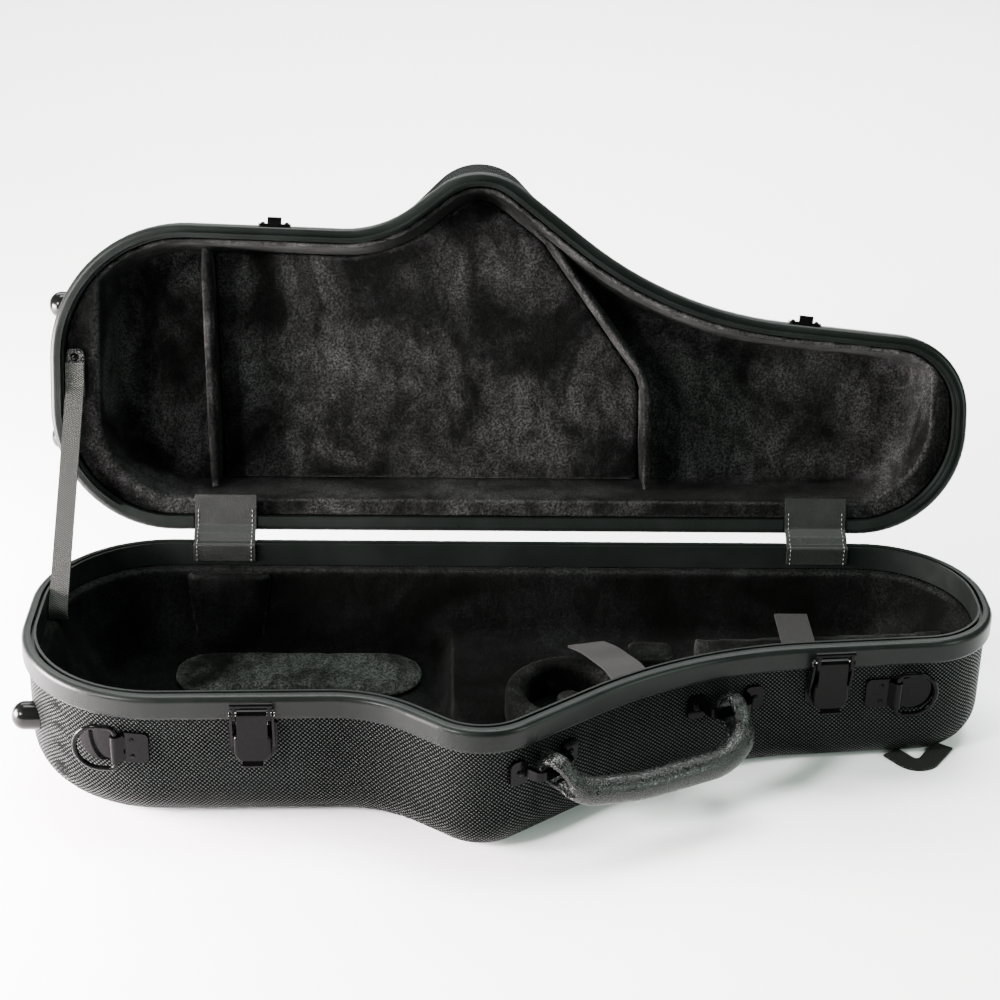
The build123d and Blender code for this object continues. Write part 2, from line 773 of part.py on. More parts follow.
for side, wall in latch_walls.items():
    with BuildPart() as latch_plate:
        with BuildSketch(wall.offset(latch_plate_seat)) as plate_outline:
            with Locations((0, -(latch_plate_top + latch_plate_bottom) / 2)):
                Rectangle(latch_plate_width, latch_plate_bottom - latch_plate_top)
            fillet(plate_outline.vertices().group_by(Axis.Y)[0], radius=latch_plate_round)
            fillet(plate_outline.vertices().group_by(Axis.Y)[-1], radius=latch_plate_corner)
        extrude(amount=latch_plate_wall)
        for along in (latch_ear_outer, -latch_ear_inner):
            with BuildSketch(side_plane(wall, along)):
                add(hull(
                    (*pin_spot, latch_ear_radius),
                    (latch_plate_face + latch_ear_root, -latch_ear_high, latch_ear_root_radius),
                    (latch_plate_face + latch_ear_root, -latch_ear_low, latch_ear_root_radius),
                ))
            extrude(amount=latch_ear_wall)
        bore(wall, pin_spot, latch_pin_bore, latch_plate_width)
        drill(
            spots_on(wall, latch_plate_face, latch_rivet_spots),
            rivet_shank_radius + rivet_shank_gap,
            latch_rivet_reach,
        )
    keep(latch_plate, f"{side}_latch_plate")

    with BuildPart() as lever:
        with BuildSketch(wall.offset(lever_back)):
            add(head_outline(0))
        extrude(amount=lever_face_stand - lever_back)
        fillet(lever.edges().group_by(Axis(wall.origin, wall.z_dir))[-1], radius=lever_edge_round)
        with BuildSketch(side_plane(wall)):
            add(hull(
                (*pin_spot, latch_knuckle_radius),
                (*hook_spot, hook_cheek_radius),
                (lever_face_stand - hook_cheek_radius, -lever_head_top - lever_wall, hook_cheek_radius),
            ))
        extrude(amount=lever_neck_width / 2, both=True)
        with BuildSketch(wall.offset(lever_back)):
            add(head_outline(lever_wall))
        extrude(amount=lever_face_stand - lever_wall - lever_back, mode=Mode.SUBTRACT)
        with BuildSketch(wall):
            with Locations((0, -latch_pin_drop - latch_knuckle_radius - lever_wall)):
                Rectangle(
                    lever_neck_width - 2 * lever_wall,
                    lever_head_top - latch_pin_drop - latch_knuckle_radius + lever_wall,
                    align=(Align.CENTER, Align.MAX),
                )
        extrude(amount=lever_face_stand - lever_wall, mode=Mode.SUBTRACT)
        with BuildSketch(side_plane(wall)):
            add(hull(
                (lever_face_stand - lever_wall, -lever_head_bottom + lever_edge_round, lever_lip_radius),
                (lever_face_stand + lever_lip - lever_wall, -lever_head_bottom, lever_lip_radius),
            ))
        extrude(amount=lever_lip_width / 2, both=True)
        bore(wall, pin_spot, latch_pin_bore, latch_plate_width)
        bore(wall, hook_spot, hook_pin_bore, latch_plate_width)
    keep(lever, f"{side}_latch_lever")

    with BuildPart() as hook:
        for along in (hook_arm_outer, -hook_arm_inner):
            with BuildSketch(side_plane(wall, along)):
                add(hull((*hook_spot, hook_cheek_radius), (*elbow_spot, hook_elbow_radius)))
                add(hull((*elbow_spot, hook_elbow_radius), (*bar_spot, hook_bar_radius)))
            extrude(amount=hook_arm_wall)
        bore(wall, bar_spot, hook_bar_radius, hook_arm_outer + hook_bar_end, Mode.ADD)
        bore(wall, hook_spot, hook_pin_bore, latch_plate_width)
    keep(hook, f"{side}_latch_hook")

    for node, spot, radius, half_length in (
        (f"{side}_lever_pin", pin_spot, latch_pin_radius, latch_ear_outer + latch_side_gap),
        (f"{side}_hook_pin", hook_spot, hook_pin_radius, hook_arm_outer),
    ):
        with BuildPart() as cross_pin:
            bore(wall, spot, radius, half_length, Mode.ADD)
        keep(cross_pin, node)

    with BuildPart() as keeper:
        with BuildSketch(wall.offset(rim_stand + keeper_seat)) as plate_outline:
            with Locations((0, keeper_rivet_up)):
                Rectangle(keeper_width, keeper_high - keeper_low)
            fillet(plate_outline.vertices(), radius=keeper_corner)
        extrude(amount=keeper_wall)
        with BuildSketch(side_plane(wall)):
            with BuildLine():
                low = keeper_low + parting_gap
                Polyline(
                    (rim_stand + keeper_seat, low), (keeper_tab_reach, low),
                    (keeper_tab_reach, low + keeper_lip_height),
                    (keeper_tab_reach - keeper_lip_wall, low + keeper_lip_height),
                    (keeper_tab_reach - keeper_lip_wall, low + keeper_tab_wall),
                    (rim_stand + keeper_seat, low + keeper_tab_wall), close=True,
                )
            make_face()
        extrude(amount=keeper_tab_width / 2, both=True)
        drill(
            spots_on(wall, keeper_face, [
                (-keeper_rivet_pitch / 2, keeper_rivet_up), (keeper_rivet_pitch / 2, keeper_rivet_up),
            ]),
            rivet_shank_radius + rivet_shank_gap,
            keeper_rivet_reach,
        )
    keep(keeper, f"{side}_keeper", opened=True)

rivets("latch_rivets", latch_rivet_seats, latch_rivet_reach)
rivets("keeper_rivets", keeper_rivet_seats, keeper_rivet_reach, opened=True)


# Handle: two staple brackets and the leather grip that swings on them
def bow_centre(wall):
    """Find the middle of a bracket's bow."""
    return wall.origin + wall.z_dir * bow_stand


for side, wall in bracket_walls.items():
    with BuildPart() as bracket:
        for foot in bracket_foot_walls[side]:
            with BuildSketch(foot.offset(bracket_seat)) as foot_outline:
                Rectangle(bracket_foot_width, bracket_foot_height)
                fillet(foot_outline.vertices(), radius=bracket_foot_round)
            extrude(amount=bracket_foot_wall)
        half = (bracket_foot_pitch - bracket_foot_width) / 2
        top = bow_stand + bow_wall / 2
        with BuildSketch(Plane(origin=wall.origin, x_dir=wall.x_dir, z_dir=-wall.y_dir)) as bow_form:
            with BuildLine():
                FilletPolyline(
                    (-half - bow_wall, bow_root), (-half, top), (half, top), (half + bow_wall, bow_root),
                    radius=bow_bend_radius,
                )
                offset(amount=bow_wall, side=Side.RIGHT)
            make_face()
        extrude(bow_form.sketch, amount=bow_width / 2, both=True)
        drill(
            [foot.offset(bracket_foot_face) for foot in bracket_foot_walls[side]],
            rivet_shank_radius + rivet_shank_gap,
            screw_reach,
        )
    keep(bracket, f"{side}_handle_bracket")

rivets("handle_screws", screw_seats, screw_reach, screw_head_radius, screw_head_height)

left_bow, right_bow = (bow_centre(wall) for wall in bracket_walls.values())
grip_span = (right_bow - left_bow).length
grip_axis = (right_bow - left_bow).normalized()
grip_level = grip_axis.cross(Vector(0, 0, 1)).normalized()
grip_out = grip_level.rotate(Axis((0, 0, 0), grip_axis), grip_droop)
grip_plane = Plane(origin=left_bow, x_dir=grip_axis, z_dir=grip_axis.cross(grip_out))
shoulder_in, shoulder_rise = grip_right_shoulder
rise_in, rise_out = grip_right_rise


def eye_plane(start, lean):
    """Give the plane of a grip end's eye: X out along the strap, Z through the eye."""
    along = grip_axis * sin(radians(lean)) + grip_out * cos(radians(lean))
    return Plane(origin=start, x_dir=along, z_dir=along.cross(grip_plane.z_dir))


def eye_body(plane):
    """Make the rounded strap end that an eye is cut through."""
    with BuildPart() as form:
        with BuildSketch(plane):
            add(hull((0, 0, eye_radius + eye_wall), (eye_length, 0, eye_tip_radius + eye_wall)))
        extrude(amount=eye_width / 2, both=True)
        fillet(form.edges().group_by(Axis(plane.origin, plane.z_dir))[0], radius=eye_round)
        fillet(form.edges().group_by(Axis(plane.origin, plane.z_dir))[-1], radius=eye_round)
    return form.part


eye_planes = [
    eye_plane(start, lean) for start, lean in zip((left_bow, right_bow), eye_leans.values())
]
ends = [
    (start + grip_end_reach * sin(radians(lean)), grip_end_reach * cos(radians(lean)))
    for start, lean in zip((0, grip_span), eye_leans.values())
]
with BuildPart() as handle_grip:
    with BuildLine(grip_plane) as grip_line:
        FilletPolyline(
            ends[0], grip_left_shoulder, grip_crown,
            (grip_span - rise_in, rise_out), (grip_span - shoulder_in, shoulder_rise), ends[1],
            radius=list(grip_bends),
        )
    with BuildSketch(Plane(origin=grip_line.line @ 0, z_dir=grip_line.line % 0)):
        Circle(grip_radius)
    sweep()
    for plane in eye_planes:
        add(eye_body(plane))
    for plane in eye_planes:
        with BuildSketch(plane):
            add(hull((0, 0, eye_radius), (eye_length, 0, eye_tip_radius)))
        extrude(amount=eye_width + grip_radius, both=True, mode=Mode.SUBTRACT)
keep(handle_grip, "handle_grip")


# Strap anchors and their rings
def ring_outline(plane):
    """Draw the centre line of a D ring whose straight bar stands on the plane's Y axis."""
    nose = ring_reach - ring_height / 2
    with BuildLine(plane) as form:
        bar = Line((0, -ring_height / 2 + ring_corner), (0, ring_height / 2 - ring_corner))
        CenterArc((ring_corner, ring_height / 2 - ring_corner), ring_corner, 180, -90)
        Line((ring_corner, ring_height / 2), (nose, ring_height / 2))
        CenterArc((nose, 0), ring_height / 2, 90, -180)
        Line((nose, -ring_height / 2), (ring_corner, -ring_height / 2))
        CenterArc((ring_corner, -ring_height / 2 + ring_corner), ring_corner, -90, -90)
    return form.line, bar


for side, wall in anchor_walls.items():
    way = -1 if side == "left" else 1
    hub = wall.from_local_coords(Vector(way * anchor_width / 2, -anchor_sleeve_height / 2, ring_stand))
    with BuildPart() as ring_plate:
        plate_inset = rim_stand - anchor_seat
        height = wall.origin.Z
        ring_wall(plate_inset - anchor_wall, plate_inset, height - anchor_height, height + anchor_height)
        with BuildSketch(wall) as plate_outline:
            Rectangle(anchor_width, anchor_height)
            fillet(plate_outline.vertices(), radius=anchor_round)
            add(hull(
                (0, 0, anchor_height / 2 - anchor_round),
                (way * (anchor_width + ring_reach) / 2, 0, anchor_disc_radius),
            ))
        extrude(plate_outline.sketch, amount=anchor_height, both=True, mode=Mode.INTERSECT)
        with BuildSketch(Plane(origin=hub, x_dir=wall.x_dir, z_dir=(0, 0, 1))) as sleeve:
            add(hull(
                (0, 0, anchor_sleeve_radius),
                (-way * anchor_width / 4, ring_stand - anchor_seat - anchor_wall / 2, anchor_wall / 2),
            ))
        extrude(sleeve.sketch, amount=anchor_sleeve_height)
        with BuildSketch(Plane(origin=hub, x_dir=wall.x_dir, z_dir=(0, 0, 1))) as sleeve_bore:
            Circle(ring_wire_radius + ring_gap)
        extrude(sleeve_bore.sketch, amount=anchor_sleeve_height, mode=Mode.SUBTRACT)
        drill(
            spots_on(wall, anchor_face, [(0, -anchor_rivet_pitch / 2), (0, anchor_rivet_pitch / 2)]),
            rivet_shank_radius + rivet_shank_gap,
            anchor_rivet_reach,
        )
    keep(ring_plate, f"{side}_ring_plate")

    ring_plane = Plane(
        origin=hub + Vector(0, 0, anchor_sleeve_height / 2), x_dir=wall.x_dir * way, z_dir=wall.z_dir * way
    )
    with BuildPart() as ring:
        ring_line, ring_bar = ring_outline(ring_plane)
        with BuildSketch(Plane(origin=ring_bar @ 0, z_dir=ring_bar % 0)):
            Circle(ring_wire_radius)
        sweep(path=ring_line)
    keep(ring, f"{side}_ring")

rivets("anchor_rivets", anchor_rivet_seats, anchor_rivet_reach)

# Feet on the bell end
for node, planes, form, opened in (
    ("base_feet", base_foot_planes, tub(shell_inset - seat_gap, 0, base_depth, base_corner_radius), False),
    ("lid_feet", lid_foot_planes, dome(shell_inset - seat_gap, lid_low, lid_top, lid_corner_radius), True),
):
    with BuildPart() as feet:
        for spot in planes:
            length = case_length / 2 + foot_reach + spot.origin.X
            with BuildSketch(spot.offset(length - overrun - foot_radius)):
                Circle(foot_radius)
            extrude(amount=overrun + foot_radius)
            with BuildSketch(spot.offset(-overrun)):
                Circle(foot_radius)
            extrude(amount=length)
        fillet(feet.edges().group_by(Axis.X)[0], radius=foot_dome)
        add(form, mode=Mode.SUBTRACT)
        for spot in planes:
            with BuildSketch(spot):
                Circle(foot_stud_radius)
            extrude(amount=seat_gap - foot_stud_bite)
            with BuildSketch(spot):
                Circle(foot_stud_radius)
            extrude(amount=foot_stud_radius)
    keep(feet, node, opened)


# Leather covers that bridge the hinges on the inside
def laid_open(y, z):
    """Give the place of a point of the closed lid, as (y, z), once the lid is open."""
    turn = radians(-lid_open_angle)
    out, up = y - lid_hinge.position.Y, z - lid_hinge.position.Z
    return (
        lid_hinge.position.Y + out * cos(turn) - up * sin(turn),
        lid_hinge.position.Z + out * sin(turn) + up * cos(turn),
    )


def section_plane(x, width):
    """Give the plane across the case whose extrusion by width is centred on x."""
    return Plane(origin=(x - width / 2, 0, 0), x_dir=(0, 1, 0), z_dir=(1, 0, 0))


cover_lid_level = lid_low + notch_depth - cover_gap
cover_base_level = base_depth - notch_depth + cover_gap
cover_inner_y = back_y - rim_inner_inset - cover_gap

for side, x in hinge_places.items():
    with BuildPart() as hinge_cover:
        cover_form = strip(
            section_plane(x, cover_width),
            [
                (cover_inner_y, base_depth - cover_base_drop),
                (cover_inner_y, cover_base_level),
                (back_y - cover_base_turn, cover_base_level),
                (back_y - cover_loop_depth, base_depth + cover_loop_rise),
                laid_open(back_y - cover_lid_turn, cover_lid_level),
                laid_open(back_y - cover_lid_reach, cover_lid_level),
            ],
            list(cover_bends),
            cover_wall,
        )
        extrude(cover_form, amount=cover_width)
    keep(hinge_cover, f"{side}_hinge_cover")


# Plush foam set of the base
bell_floor = base_depth - bell_floor_drop
channel_floor = base_depth - channel_floor_drop
basin_top = rim_low - liner_gap
liner_inset = shell_inner_inset + liner_gap


def basin(gap):
    """Make the hollow of the base's foam, drawn in by gap."""
    left, right = -case_length / 2 + bell_end_inset + gap, case_length / 2 - neck_end_inset - gap
    with BuildPart() as form:
        with BuildSketch(Plane.XY.offset(bell_floor + gap)):
            add(outline(liner_inset + liner_wall + liner_batter + gap))
        with BuildSketch(Plane.XY.offset(basin_top)):
            add(outline(liner_inset + liner_wall + gap))
        loft(ruled=True)
        with BuildSketch(Plane.XZ) as profile:
            with BuildLine():
                Polyline(
                    (left, basin_top), (left + bell_end_batter, bell_floor + gap),
                    (channel_left - channel_step - gap, bell_floor + gap),
                    (channel_left, channel_floor + gap), (neck_end_left, channel_floor + gap),
                    (right, basin_top), close=True,
                )
            make_face()
        extrude(profile.sketch, amount=bell_depth * 2, both=True, mode=Mode.INTERSECT)
    return form.part


with BuildPart() as base_liner:
    add(tub(liner_inset, shell_wall + liner_gap, basin_top, base_corner_radius - shell_wall - liner_gap))
    add(basin(0), mode=Mode.SUBTRACT)
keep(base_liner, "base_liner")


def bedded(node, plan, low_z, high_z, crown, fitted=None):
    """Keep a pad that fills the hollow over a plan outline, with its top edges rounded."""
    with BuildPart() as pad:
        with BuildSketch(Plane.XY.offset(low_z)):
            add(plan)
        extrude(amount=high_z - low_z)
        fillet(pad.edges().group_by(Axis.Z)[-1], radius=crown)
        if fitted is not None:
            add(fitted, mode=Mode.INTERSECT)
    return keep(pad, node)


with BuildSketch() as floor_pad_plan:
    with Locations((floor_pad_left, back_y - floor_pad_back)):
        Rectangle(floor_pad_right - floor_pad_left, floor_pad_front - floor_pad_back,
                  align=(Align.MIN, Align.MAX))
    fillet(floor_pad_plan.vertices(), radius=floor_pad_round)
bedded("floor_pad", floor_pad_plan.sketch, bell_floor + liner_gap, bell_floor + floor_pad_wall,
       floor_pad_crown, basin(liner_gap))

with BuildSketch() as ledge_plan:
    with BuildLine():
        Polyline(
            (ledge_left, back_y - ledge_left_depth), (ledge_right, back_y - ledge_right_depth),
            (ledge_right, back_y - bell_depth), (ledge_left, back_y - bell_depth), close=True,
        )
    make_face()
with BuildPart() as ledge_block:
    add(basin(liner_gap))
    with BuildSketch(Plane.XY.offset(channel_floor)):
        add(ledge_plan.sketch)
    extrude(amount=channel_floor_drop - ledge_drop, mode=Mode.INTERSECT)
keep(ledge_block, "ledge_block")

cradle_centre = (cradle_x, back_y - cradle_depth)
with BuildSketch() as cradle_plan:
    with Locations(cradle_centre):
        Circle(cradle_radius + cradle_wall)
        Circle(cradle_radius, mode=Mode.SUBTRACT)
        Rectangle(cradle_radius + cradle_wall, cradle_mouth, align=(Align.MIN, Align.CENTER),
                  mode=Mode.SUBTRACT)
bedded("neck_cradle", cradle_plan.sketch, channel_floor + liner_gap, base_depth - cradle_drop,
       cradle_round, basin(liner_gap))

with BuildSketch() as plug_plan:
    with Locations(cradle_centre):
        Circle(plug_radius)
bedded("cradle_plug", plug_plan.sketch, channel_floor + liner_gap, base_depth - plug_drop, plug_round)

with BuildSketch() as block_plan:
    with Locations((block_left, back_y - block_back)):
        Rectangle(block_right - block_left, block_front - block_back, align=(Align.MIN, Align.MAX))
    fillet(block_plan.vertices(), radius=block_round)
bedded("neck_block", block_plan.sketch, channel_floor + liner_gap, base_depth - block_drop, block_round / 2)

with BuildSketch() as wall_pad_plan:
    with Locations((wall_pad_x, back_y)):
        Rectangle(wall_pad_width, wall_pad_reach, align=(Align.CENTER, Align.MAX))
    fillet(wall_pad_plan.vertices().group_by(Axis.Y)[0], radius=wall_pad_round)
bedded("wall_pad", wall_pad_plan.sketch, bell_floor + floor_pad_wall + liner_gap,
       base_depth - wall_pad_drop, ridge_round, basin(liner_gap))


# Webbing straps of the base
def strap_plane(back_end, front_end):
    """Give the upright plane along a strap from its back end to its front end."""
    run = Vector(front_end[0] - back_end[0], back_end[1] - front_end[1]).normalized()
    origin = Vector(back_end[0], back_y - back_end[1], base_depth)
    return Plane(origin=origin, x_dir=run, z_dir=run.cross(Vector(0, 0, 1)))


neck_strap_plane = strap_plane(neck_strap_back, neck_strap_front)
neck_strap_path = [
    (sqrt((x - neck_strap_back[0]) ** 2 + (depth - neck_strap_back[1]) ** 2), -drop)
    for x, depth, drop in (neck_strap_back, neck_strap_mid, neck_strap_front)
]
with BuildPart() as neck_strap:
    neck_form = strip(neck_strap_plane, neck_strap_path, strap_bend, strap_wall)
    extrude(neck_form, amount=neck_strap_width / 2, both=True)
keep(neck_strap, "neck_strap")

front_wall_y = front_spot(body_strap_x, rim_inner_inset)[0].Y
body_strap_low = base_depth - ledge_drop + liner_gap
with BuildPart() as body_strap:
    strap_form = strip(
        section_plane(body_strap_x, body_strap_width),
        [
            (front_wall_y + body_strap_lift, base_depth - body_strap_rise),
            (front_wall_y + body_strap_lift + strap_bend, body_strap_low),
            (back_y - body_strap_back, body_strap_low),
        ],
        strap_bend,
        strap_wall,
    )
    extrude(strap_form, amount=body_strap_width)
keep(body_strap, "body_strap")

# Webbing loop under the neck end
with BuildPart() as carry_loop:
    loop_form = strip(
        Plane.XY.offset(carry_lift),
        [(x, back_y - depth) for x, depth in (carry_right, carry_nose, carry_left)],
        carry_bend,
        carry_width,
    )
    extrude(loop_form, amount=carry_wall)
keep(carry_loop, "carry_loop")


# Plush foam set of the lid
lid_floor_z = base_depth + lid_floor_rise
border_z = base_depth + border_rise


def lid_window(z, gap, share):
    """Draw the hollow's straight limits at one level; share is how far the batter has gone."""
    drawn = gap + lid_hollow_batter * share
    left = -case_length / 2 + lid_hollow_left + drawn
    right = case_length / 2 - lid_hollow_right - drawn
    back = back_y - lid_hollow_back - drawn
    with BuildSketch(Plane.XY.offset(z)) as window:
        with Locations(((left + right) / 2, back)):
            Rectangle(right - left, bell_depth * 2, align=(Align.CENTER, Align.MAX))
        fillet(window.vertices(), radius=lid_hollow_round)
    return window.sketch


def lid_limits(gap):
    """Make the block that the lid's hollow is kept within, drawn in by gap."""
    with BuildPart() as form:
        add(lid_window(border_z, gap, 0))
        add(lid_window(lid_floor_z - gap, gap, 1))
        loft(ruled=True)
    return form.part


def lid_hollow(gap):
    """Make the hollow of the lid's foam, drawn in by gap."""
    with BuildPart() as form:
        with BuildSketch(Plane.XY.offset(border_z)):
            add(outline(border_inset + gap))
        with BuildSketch(Plane.XY.offset(lid_floor_z - gap)):
            add(outline(border_inset + border_batter + gap))
        loft(ruled=True)
        add(lid_limits(gap), mode=Mode.INTERSECT)
    return form.part


# The lid's foam is a formed tray: a flange round the hollow, walls and floor of one thickness
lid_lining_low = lid_low + rim_height + liner_gap
with BuildPart() as tray_block:
    add(lid_hollow(-tray_wall))
    with BuildSketch(Plane.XY.offset(border_z)):
        add(outline(liner_inset))
    extrude(amount=tray_wall)

with BuildPart() as lid_liner:
    add(dome(
        liner_inset, lid_lining_low, lid_top - shell_wall - liner_gap,
        lid_corner_radius - shell_wall - liner_gap,
    ))
    with BuildSketch(Plane.XY.offset(border_z)):
        add(outline(rim_inner_inset + liner_gap))
    extrude(amount=base_depth + swell_end - border_z)
    add(tray_block.part, mode=Mode.INTERSECT)
    add(lid_hollow(0), mode=Mode.SUBTRACT)
keep(lid_liner, "lid_liner", opened=True)


def lid_pad_form(plan, low_z, crown):
    """Make a pad that stands on the lid's floor, its edges rounded towards the opening."""
    with BuildPart() as pad:
        with BuildSketch(Plane.XY.offset(low_z)):
            add(plan)
        extrude(amount=lid_floor_z - low_z)
        fillet(pad.edges().group_by(Axis.Z)[0], radius=crown)
        add(lid_hollow(liner_gap), mode=Mode.INTERSECT)
    return pad


ridge_z = base_depth + ridge_rise
bell_ridge_line = [
    (bell_ridge_x + bell_ridge_lean, back_y), (bell_ridge_x - bell_ridge_lean, back_y - bell_depth),
]
neck_front = Vector(
    neck_ridge_front_x - neck_ridge_x, neck_ridge_turn_depth - neck_ridge_front_depth
)
neck_front_end = neck_front + neck_front.normalized() * ridge_overrun
neck_ridge_line = [
    (neck_ridge_x, back_y), (neck_ridge_x, back_y - neck_ridge_turn_depth),
    (neck_ridge_x + neck_front_end.X, back_y - neck_ridge_turn_depth + neck_front_end.Y),
]

with BuildSketch() as bell_ridge_plan:
    with BuildLine():
        Line(*bell_ridge_line)
        offset(amount=ridge_wall, side=Side.RIGHT)
    make_face()
keep(lid_pad_form(bell_ridge_plan.sketch, ridge_z, ridge_round), "bell_ridge", opened=True)

neck_ridge_plan = strip(Plane.XY, neck_ridge_line, neck_ridge_bend, ridge_wall)
keep(lid_pad_form(neck_ridge_plan, ridge_z, ridge_round), "neck_ridge", opened=True)

with BuildSketch() as lid_pad_plan:
    with BuildLine():
        FilletPolyline(*[(x - liner_gap, y) for x, y in neck_ridge_line], radius=neck_ridge_bend)
        Polyline(
            (neck_ridge_line[-1][0] - liner_gap, neck_ridge_line[-1][1]),
            (bell_ridge_line[-1][0] + liner_gap, neck_ridge_line[-1][1]),
            (bell_ridge_line[-1][0] + liner_gap, bell_ridge_line[-1][1]),
            (bell_ridge_line[0][0] + liner_gap, back_y),
            (neck_ridge_line[0][0] - liner_gap, back_y),
        )
    make_face()
keep(lid_pad_form(lid_pad_plan.sketch, lid_floor_z - lid_pad_wall, lid_pad_crown), "lid_pad", opened=True)

# Stay strap that holds the lid open, its leather tab and rivet on the lid
tab_face_z = border_z - liner_gap - tab_wall
tab_rivet_seat = Plane(
    origin=(stay_x, back_y - tab_depth - tab_length / 2 + tab_rivet_setback, tab_face_z), z_dir=(0, 0, -1)
)
with BuildPart() as stay_tab:
    with BuildSketch(Plane.XY.offset(tab_face_z)) as tab_outline:
        with Locations((stay_x, back_y - tab_depth)):
            Rectangle(tab_width, tab_length)
        fillet(tab_outline.vertices(), radius=tab_width / 3)
    extrude(amount=tab_wall)
    drill([tab_rivet_seat], rivet_shank_radius + rivet_shank_gap, tab_wall)
keep(stay_tab, "stay_tab", opened=True)
rivets("stay_rivet", [tab_rivet_seat], tab_wall, tab_rivet_radius, tab_rivet_height, opened=True)

stay_level = tab_face_z - liner_gap
with BuildPart() as stay_strap:
    stay_form = strip(
        section_plane(stay_x, stay_width),
        [
            (back_y - stay_base_depth, basin_top + liner_gap),
            (back_y - stay_base_depth, basin_top + liner_gap + stay_base_rise),
            laid_open(back_y - stay_lid_turn, stay_level),
            laid_open(back_y - stay_lid_depth, stay_level),
        ],
        stay_bend,
        stay_wall,
    )
    extrude(stay_form, amount=stay_width)
keep(stay_strap, "stay_strap")
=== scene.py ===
"""Alto saxophone case standing open: finishes, plush, leather, webbing, light and camera.

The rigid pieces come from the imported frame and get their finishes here. Plush, leather and
webbing pieces are made as meshes of their own, in the place of their plain solids.
"""

import logging
import math
from dataclasses import dataclass
from enum import Enum

import bmesh
import bpy
import numpy as np
from mathutils import Matrix, Vector, noise
from mathutils.bvhtree import BVHTree


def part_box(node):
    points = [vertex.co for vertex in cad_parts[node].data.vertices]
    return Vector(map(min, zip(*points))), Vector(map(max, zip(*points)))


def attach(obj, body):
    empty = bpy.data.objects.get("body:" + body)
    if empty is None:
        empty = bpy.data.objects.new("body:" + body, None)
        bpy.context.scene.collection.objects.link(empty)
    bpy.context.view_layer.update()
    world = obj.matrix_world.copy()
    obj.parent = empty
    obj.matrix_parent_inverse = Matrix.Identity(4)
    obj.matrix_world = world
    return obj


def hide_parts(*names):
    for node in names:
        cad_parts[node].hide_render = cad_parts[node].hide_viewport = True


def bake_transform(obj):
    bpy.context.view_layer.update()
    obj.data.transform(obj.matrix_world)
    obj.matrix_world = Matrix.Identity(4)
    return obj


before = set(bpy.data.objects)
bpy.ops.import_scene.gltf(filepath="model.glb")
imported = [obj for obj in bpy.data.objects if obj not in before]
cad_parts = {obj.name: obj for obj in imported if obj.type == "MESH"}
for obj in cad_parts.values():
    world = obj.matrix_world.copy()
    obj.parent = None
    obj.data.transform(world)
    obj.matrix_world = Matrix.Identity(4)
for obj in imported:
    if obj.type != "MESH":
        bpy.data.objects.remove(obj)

logging.basicConfig(level=logging.INFO, format="%(message)s")
log = logging.getLogger("case")

MM = 0.001
LID_ANGLE = math.radians(108.0)
HINGE = Vector((0.0, 0.1135, 0.100))

# Vertices of a node's mesh that lie closer than this are one
WELD = 0.01 * MM

# Rounding, drawing in before stuffing, and the waves of the soft pieces
SMOOTHING = 0.5
DRAW_IN = 0.5 * MM
RIPPLE_SIZE = 16 * MM

# Keeps a division by a length from meeting zero
TINY = 1e-9

# The direction that rows of stitches are looked for in, from the front and above
STITCH_LOOK = Vector((0.0, 0.9, -0.45)).normalized()

# Sockets of the colour mix node, which have names that repeat
MIX_FIRST = 6
MIX_SECOND = 7
MIX_RESULT = 2

# The middle part of a noise's range, which holds nearly all of it
NOISE_BAND = (0.3, 0.7)


class Fill(Enum):
    """How plump a piece is: the pressure inside, and how many mm a point may move."""

    FLAT = (0.0, 0.0)
    FIRM = (2.5, 1.2)
    PLUMP = (4.0, 2.2)


